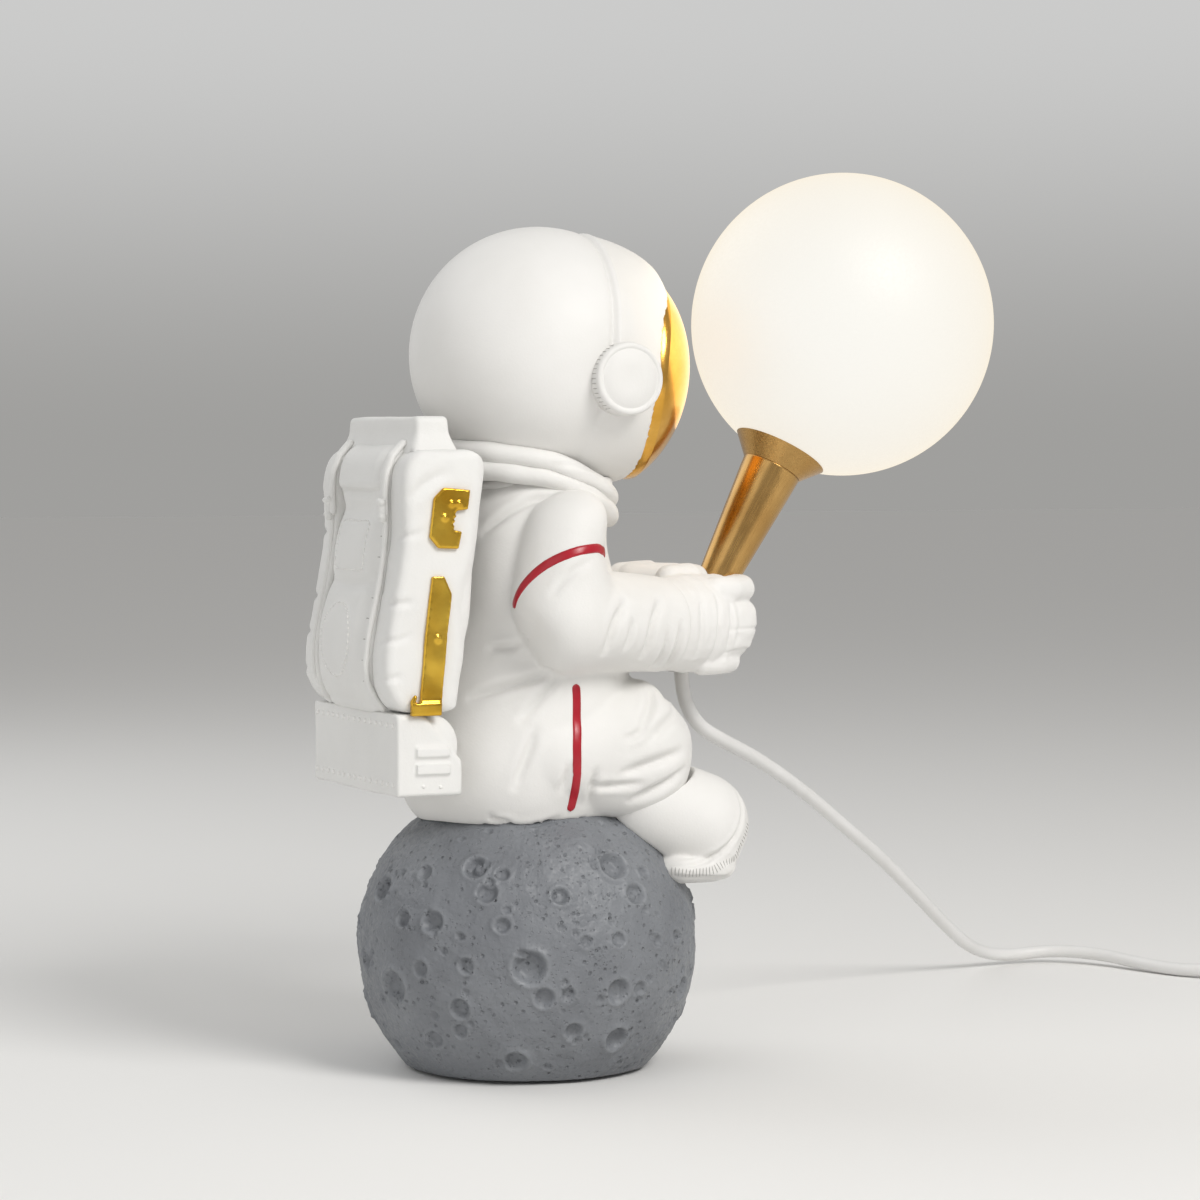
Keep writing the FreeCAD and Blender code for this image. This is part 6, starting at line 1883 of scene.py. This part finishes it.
@dataclass
class Backpack(Assembly):
    """The padded pack: centre panel, welts, pouches, clips, top cap, lower box and its stitching."""

    voxel: float = 0.75
    pouch_creases: tuple = (
        Crease(((-36.0, 50.8, 171.5), (-34.0, 54.0, 170.4), (-30.0, 56.4, 169.8)), 1.0, 0.8, 0.1),
        Crease(((-36.0, 53.6, 150.5), (-34.0, 57.0, 149.8), (-30.0, 59.2, 149.4)), 1.0, 0.9, 0.1),
        Crease(((-36.2, 54.4, 140.5), (-34.2, 59.0, 138.6), (-30.0, 61.2, 138.0)), 0.9, 0.7, 0.1),
        Crease(((-36.0, 42.0, 190.0), (-36.4, 49.0, 186.5), (-33.6, 55.0, 181.0)), 1.4, 0.7),
        Crease(((-36.2, 34.0, 160.0), (-36.6, 37.0, 148.0), (-36.2, 34.0, 136.0)), 1.6, 0.6),
        Crease(((-36.0, 57.5, 128.0), (-33.0, 61.0, 127.0)), 0.9, 0.6, 0.1),
    )
    spine_creases: tuple = (
        Crease(((-20.5, 56.6, 183.6), (0.0, 58.0, 183.0), (20.5, 56.6, 183.6)), 1.2, 1.2, 0.5),
        Crease(((-20.5, 58.0, 155.5), (0.0, 60.0, 154.5), (20.5, 58.0, 155.5)), 1.6, 1.0, 0.3),
    )
    patch: Path = (
        (11.4, 58.0, 174.4), (0.0, 58.0, 174.6), (-10.8, 58.0, 174.2), (-11.2, 58.6, 167.0),
        (-10.8, 59.6, 160.0), (0.0, 59.8, 159.6), (11.6, 59.6, 160.2), (12.0, 58.6, 167.0),
    )
    oval_centre: Point = (0.2, 64.7, 138.0)
    oval_radius: float = 12.9
    stitches: Pieces = Pieces(spacing=2.1, along=1.45, across=0.6, proud=0.8)
    # The nicks are dark ticks: painted shade of small cuts in the panel
    nicks: Pieces = Pieces(spacing=6.3, along=0.35, across=2.2, proud=0.3)
    nicks_x: float = 19.6
    loops: Pieces = Pieces(spacing=4.4, along=2.2, across=1.7, proud=0.9)
    loop_heights: tuple = (112.8, 94.6)
    dots: Pieces = Pieces(spacing=5.5, along=1.3, across=1.3, proud=0.9)
    dots_path: Path = ((36.0, 50.2, 94.2), (36.0, 47.4, 94.0), (36.0, 44.6, 93.9))
    # Height and y of the welts along the pack's rear, from the top down
    rear_line: tuple = (
        (198.6, 51.2), (194.6, 54.9), (189.5, 56.9), (183.0, 57.5), (177.0, 57.2), (170.0, 57.4),
        (163.0, 58.2), (155.0, 59.6), (147.0, 61.4), (139.0, 63.1), (131.0, 64.0), (125.6, 63.4),
        (121.0, 61.2), (117.4, 58.0),
    )
    welt_x: float = 23.2
    welt_radius: float = 1.05
    panel_edge: tuple = (13.0, 21.5)
    panel_fall: float = 2.4
    # Where along y the moves of the panel, the rear sides, the pouches' fronts and the fillers set in
    panel_ramp: tuple = (44.0, 52.0)
    rear_ramp: tuple = (44.0, 54.0)
    fore_ramp: tuple = (34.0, 50.0)
    filler_ramp: tuple = (44.0, 50.0)
    strap_x: float = 22.7
    strap_shape: Point = (2.1, 1.3, 1.3)
    strap_end: float = 177.0
    filler_drop: float = 2.6
    clip: tuple = (
        Lump(((-23.2, 58.3, 175.4), (-23.2, 58.3, 180.4)), (1.6, 1.5, 1.3)),
        Lump(((-24.3, 58.9, 180.6), (-22.0, 58.9, 180.8)), (1.2, 1.3, 1.1)),
        Lump(((-24.2, 58.6, 176.2), (-22.3, 58.6, 176.0)), (1.1, 1.3, 0.9)),
    )
    # Heights, and how far the photograph shows the pouches' and the panel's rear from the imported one
    rear_heights: tuple = (116.0, 119.0, 125.0, 134.0, 147.0, 161.0, 173.0, 187.0, 195.0)
    pouch_shifts: tuple = (-0.8, -0.6, 0.9, 1.0, 0.0, -0.9, -1.3, -0.8, -0.4)
    panel_shifts: tuple = (-0.5, -2.2, -1.4, -1.2, -0.8, -0.5, -0.2, -0.8, -0.6)
    pouch_fore: float = 4.05
    front_low: float = 37.05
    front_lean: float = -0.1146
    # y and height of the middle of each rounded corner, and its radius
    top_corner: Point = (37.4, 188.2, 8.8)
    low_corner: Point = (43.9, 124.1, 7.6)
    front_from: float = 116.5
    edge_round: float = 5.2
    cap_widen: float = 1.21
    cap_rear: float = 50.0
    cap_shrink: float = 0.82
    # The cap's foot: its heights, its extra width and depth, its middle along y and its drop
    skirt_ramp: tuple = (198.2, 203.0)
    skirt_wider: float = 0.10
    skirt_deeper: float = 0.35
    skirt_middle: float = 44.0
    skirt_drop: float = 3.0
    box_widen: float = 1.125
    # Along y and up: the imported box's marks, and where the photograph shows them
    box_packed: tuple = ((35.5, 40.0, 50.5, 60.0), (91.0, 98.7, 101.5, 104.6, 107.4, 115.7))
    box_shown: tuple = ((37.3, 41.8, 52.6, 58.8), (91.0, 97.7, 100.9, 102.9, 106.1, 116.1))
    box_putty: tuple = (
        Lump(((-28.7, 43.6, 107.4), (28.7, 43.6, 107.4)), (3.2, 7.9, 7.9)),
        Lump(((-28.7, 42.2, 101.0), (28.7, 42.2, 101.0)), (3.2, 6.8, 7.0)),
    )

    def build(self) -> None:
        """Builds the whole pack."""
        spine = Skin(soft_skin("pack_panel", ("backpack_spine",), self.voxel, 6))
        fall = self.panel_fall * smooth_step(*self.panel_edge, np.abs(spine.points[:, 0]))
        spine.points[:, 1] -= fall * smooth_step(*self.panel_ramp, spine.points[:, 1])
        self._shift_rear(spine, self.panel_shifts)
        spine.uneven(size=16.0, height=0.5, seed=11)
        spine.press(self.spine_creases)
        self._press_patches(spine)
        self.fit(spine.done(), "pack_resin", "suit_white", ("backpack_spine",))
        self._stitches(Skin(spine.obj))
        for side in Side:
            self._pouch(side)
            self._welt(side)
        lumps = [*self.clip, *(lump.twin() for lump in self.clip)]
        clips = Skin(soft_skin("pack_clip_pair", (), 0.4, 3, lumps))
        self.fit(clips.done(), "pack_resin", "suit_white", ("pack_clips",))
        self._cap()
        self._box()

    def _shift_rear(self, skin: Skin, shifts: Sequence[float]) -> None:
        """Moves a piece's rear side along y, by its height.

        Args:
            skin: The piece.
            shifts: The move at each of the rear heights.
        """
        _x, y, z = skin.points.T
        skin.points[:, 1] += smooth_step(*self.rear_ramp, y) * np.interp(z, self.rear_heights, shifts)
        skin.refresh()

    def _press_patches(self, spine: Skin) -> None:
        """Raises the square and round patches a little within their seams.

        Args:
            spine: The centre panel.
        """
        x, _y, z = spine.points.T
        rear = spine.points[:, 1] > 50.0
        across, up = np.abs(x - 0.3), np.abs(z - 167.2)
        square = (1 - smooth_step(10.4, 12.0, across)) * (1 - smooth_step(6.3, 7.7, up))
        around = np.sqrt((x / self.oval_radius) ** 2 + ((z - self.oval_centre[2]) / self.oval_radius) ** 2)
        oval = 1 - smooth_step(0.86, 1.02, around)
        spine.swell(np.where(rear, 0.45 * square + 0.5 * oval, 0.0))

    def _stitches(self, host: Skin) -> None:
        """Sews round the two patches, and lays dark ticks beside the welts, painted shade of the panel's
        small cuts.

        Args:
            host: The centre panel.
        """
        _x, rear, middle = self.oval_centre
        radius = self.oval_radius * 0.9
        oval = [
            (radius * math.cos(angle), rear, middle + radius * math.sin(angle))
            for angle in (2 * math.pi * step / 16 for step in range(16))
        ]
        for name, path in (("square_patch_stitches", self.patch), ("oval_patch_stitches", oval)):
            self.sew(name, host, [path], self.stitches, "thread_resin", "suit_white", closed=True)
        # Dark ticks: painted shade of the cuts beside the welts
        nicks = [[(side.value * self.nicks_x, y, z) for z, y in self.rear_line[4:12]] for side in Side]
        self.sew("panel_nicks", host, nicks, self.nicks, "seam_shade", "suit_white")

    def _round_outline(self, pouch: Skin) -> None:
        """Rounds the pouch's front corners and its outer edges.

        Args:
            pouch: The pouch.
        """
        for (middle_y, middle_z, radius), up in ((self.top_corner, 1), (self.low_corner, -1)):
            ahead = middle_y - pouch.points[:, 1]
            over = up * (pouch.points[:, 2] - middle_z)
            reach = np.maximum(np.hypot(ahead, over), radius)
            shrink = np.where((ahead > 0) & (over > 0), radius / reach, 1.0)
            pouch.points[:, 1] = np.where(shrink < 1, middle_y - ahead * shrink, pouch.points[:, 1])
            pouch.points[:, 2] = np.where(shrink < 1, middle_z + up * over * shrink, pouch.points[:, 2])
        x, y, z = pouch.points.T
        edge = self.edge_round
        outer = np.abs(x).max() - edge
        front = self.front_low + self.front_lean * (z - self.front_from) + edge
        ahead, out = front - y, np.abs(x) - outer
        shrink = np.where((ahead > 0) & (out > 0), edge / np.maximum(np.hypot(ahead, out), edge), 1.0)
        pouch.points[:, 1] = np.where(shrink < 1, front - ahead * shrink, y)
        pouch.points[:, 0] = np.where(shrink < 1, np.sign(x) * (outer + out * shrink), x)

    def _pouch(self, side: Side) -> None:
        """Builds the pouch of one side.

        Args:
            side: The figure's side.
        """
        name = side.name.lower()
        pouch = Skin(soft_skin(f"{name}_pouch_skin", (f"{name}_pack_pouch",), self.voxel, 7))
        pouch.points[:, 1] -= self.pouch_fore * (1 - smooth_step(*self.fore_ramp, pouch.points[:, 1]))
        self._round_outline(pouch)
        self._shift_rear(pouch, self.pouch_shifts)
        pouch.uneven(size=13.0, height=0.5, seed=12 + side.value)
        pouch.press([crease if side is Side.RIGHT else crease.twin() for crease in self.pouch_creases])
        self.fit(pouch.done(), "pack_resin", "suit_white", (f"{name}_pack_pouch",))

    def _welt(self, side: Side) -> None:
        """Builds the thin welt of one side, the strap above it and the seam's filling.

        Args:
            side: The figure's side.
        """
        name = side.name.lower()
        filler = Skin(soft_skin(f"{name}_welt_filler", (f"{name}_pack_welt",), self.voxel, 3))
        filler.points[:, 1] -= self.filler_drop * smooth_step(*self.filler_ramp, filler.points[:, 1])
        self.fit(filler.done(), "pack_resin", "suit_white", (f"{name}_pack_welt",))
        line = [(side.value * self.welt_x, y, z) for z, y in self.rear_line]
        strap = [(side.value * self.strap_x, y + 0.2, z) for z, y in self.rear_line if z >= self.strap_end]
        lumps = (Lump(line, (self.welt_radius,) * 3), Lump(strap, self.strap_shape))
        welt = Skin(soft_skin(f"{name}_welt_skin", (), 0.42, 4, lumps))
        welt.uneven(size=7.0, height=0.25, seed=13)
        self.fit(welt.done(), "pack_resin", "suit_white")

    def _cap(self) -> None:
        """Builds the top cap, whose foot runs out softly on the pouches."""
        cap = Skin(soft_skin("pack_cap_skin", ("pack_top_cap",), self.voxel * 0.8, 5))
        x, y, z = cap.points.T
        skirt = (1 - smooth_step(*self.skirt_ramp, z)) ** 2
        cap.points[:, 0] = x * (self.cap_widen + self.skirt_wider * skirt)
        off = self.cap_rear - (self.cap_rear - y) * self.cap_shrink - self.skirt_middle
        cap.points[:, 1] = self.skirt_middle + off * (1 + self.skirt_deeper * skirt)
        cap.points[:, 2] = z - self.skirt_drop * skirt
        cap.refresh()
        cap.uneven(size=14.0, height=0.3, seed=14)
        self.fit(cap.done(), "pack_resin", "suit_white", ("pack_top_cap",))

    def _box(self) -> None:
        """Builds the lower box with its bars, loops and dots."""
        box = Skin(soft_skin("pack_box_skin", ("pack_lower_box",), 0.5, 3, self.box_putty))
        box.points[:, 0] *= self.box_widen
        for axis, packed, shown in zip((1, 2), self.box_packed, self.box_shown):
            box.points[:, axis] = np.interp(box.points[:, axis], packed, shown)
        box.refresh()
        box.uneven(size=14.0, height=0.3, seed=14)
        self.fit(box.done(), "pack_resin", "suit_white", ("pack_lower_box",))
        host = Skin(box.obj)
        rows = [[(32.5 - 65.0 * step / 8, 59.0, height) for step in range(9)] for height in self.loop_heights]
        self.sew("box_loop_stitches", host, rows, self.loops, "thread_resin", "suit_white")
        for side in Side:
            line = [(x * side.value, y, z) for x, y, z in self.dots_path]
            name = f"{side.name.lower()}_box_dots"
            self.sew(name, host, [line], self.dots, "thread_resin", "suit_white")


@dataclass
class GiltTools(Assembly):
    """The gold-leafed spanner and lever on the right pouch."""

    voxel: float = 0.3
    softening: int = 14
    hook: Lump = Lump(((-37.3, 53.4, 123.0), (-37.3, 54.4, 121.8)), (0.8, 0.75, 0.75))
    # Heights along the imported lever, and where the photograph shows them
    packed_heights: tuple = (117.6, 121.6, 138.2, 158.1)
    shown_heights: tuple = (115.8, 119.7, 140.5, 158.1)

    def build(self) -> None:
        """Builds both tools with soft, uneven leaf edges."""
        for seed, node in enumerate(("gilt_spanner", "gilt_lever"), start=21):
            lever = node == "gilt_lever"
            lumps = (self.hook,) if lever else ()
            skin = Skin(soft_skin(f"{node}_leaf", (node,), self.voxel, self.softening, lumps))
            skin.uneven(size=7.0, height=0.12, seed=seed)
            if lever:
                skin.points[:, 2] = np.interp(skin.points[:, 2], self.packed_heights, self.shown_heights)
            self.fit(skin.done(), "gilt_leaf", "gilt_tool", (node,))


# The lamp


@dataclass
class LampHead(Assembly):
    """Stem, cup, holder, bulb and the round shade."""

    top: Point = (0.0, -88.0, 190.5)
    lean: float = 29.0
    top_radius: float = 10.0
    grip_radius: float = 6.6
    taper_end: float = 40.0
    length: float = 62.0
    wall: float = 1.2
    shade_radius: float = 50.0
    shade_wall: float = 1.6
    shade_centre: float = 54.3
    mouth: float = 11.3
    cap_wall: float = 1.6
    nipple_hole: float = 5.05

    def _turn(self) -> Matrix:
        """Gives the stem's own frame, with zero at its top."""
        return Matrix.Translation(Vector(self.top)) @ Matrix.Rotation(math.radians(self.lean), 4, "X")

    def build(self) -> None:
        """Builds the turned pieces and dresses the rest."""
        self._stem()
        self._shade()
        self.finishes.nodes(
            shade_cup="brushed_brass", threaded_nipple="plated_steel", stem_nut="plated_steel",
            lamp_holder="holder_porcelain", contact_leaves="contact_brass_bare",
            bulb_base="bulb_foot_plastic", bulb_pins="plated_steel", bulb_tube="lit_bulb",
            light_board="board_enamel", globe_ring="ring_plastic_white", cord_bush="bush_rubber",
            stem_lead="cord_sheath",
        )

    def _stem(self) -> None:
        """Turns the tapered stem with its top cap and the nipple's hole."""
        wider = self.top_radius - self.grip_radius
        taper = [
            (self.grip_radius + wider * (1 - share), -self.taper_end * share)
            for share in (0.1, 0.3, 0.5, 0.7, 0.9, 1.0)
        ]
        bore, cap = self.grip_radius - self.wall, self.top_radius - self.wall
        profile = (
            (self.top_radius, 0.0), (self.top_radius - 0.1, -0.5), *taper, (self.grip_radius, -self.length),
            (bore, -self.length), (bore, -self.taper_end), (cap, -2.0), (cap, -self.cap_wall),
            (self.nipple_hole, -self.cap_wall), (self.nipple_hole, 0.0),
        )
        stem = lathe("brass_stem", profile, self._turn())
        self.fit(stem, "brushed_brass", "stem_brass", ("stem_tube",))

    def _shade(self) -> None:
        """Blows the round shade, open at its mouth."""
        rows = 72
        profile = []
        outer, inner = range(rows + 1), range(rows, -1, -1)
        for radius, order in ((self.shade_radius, outer), (self.shade_radius - self.shade_wall, inner)):
            start = math.asin(self.mouth / radius)
            for row in order:
                angle = start + (math.pi - start) * row / rows
                profile.append((radius * math.sin(angle), self.shade_centre - radius * math.cos(angle)))
        shade = lathe("lit_globe", profile, self._turn(), 144)
        self.fit(shade, "lit_shade", "shade_white", ("globe_shade",), Body.SHADE)


@dataclass
class SwitchAndPlug(Assembly):
    """The in-line switch and the plug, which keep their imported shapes."""

    def build(self) -> None:
        """Dresses the switch and the plug."""
        self.finishes.nodes(
            switch_lower_shell="switch_plastic", switch_upper_shell="switch_plastic",
            switch_rocker="rocker_plastic", rocker_pin="plated_steel", switch_screws="plated_steel",
            switch_terminals="contact_brass_bare", plug_body="plug_plastic", plug_relief="plug_plastic",
            plug_prongs="nickel_plate",
        )
        LOG.info("switch and plug dressed")


def main() -> None:
    """Builds the room and the lamp in order."""
    logging.basicConfig(level=logging.INFO, format="%(name)s: %(message)s")
    Studio().build()
    shared = Finishes(), RunOfPieces()
    for part in (
        FreeCord, MoonBall, Suit, Collar, Gloves, Boots, Helmet, Backpack, GiltTools, LampHead, SwitchAndPlug,
    ):
        part(*shared).build()


if __name__ == "__main__":
    main()
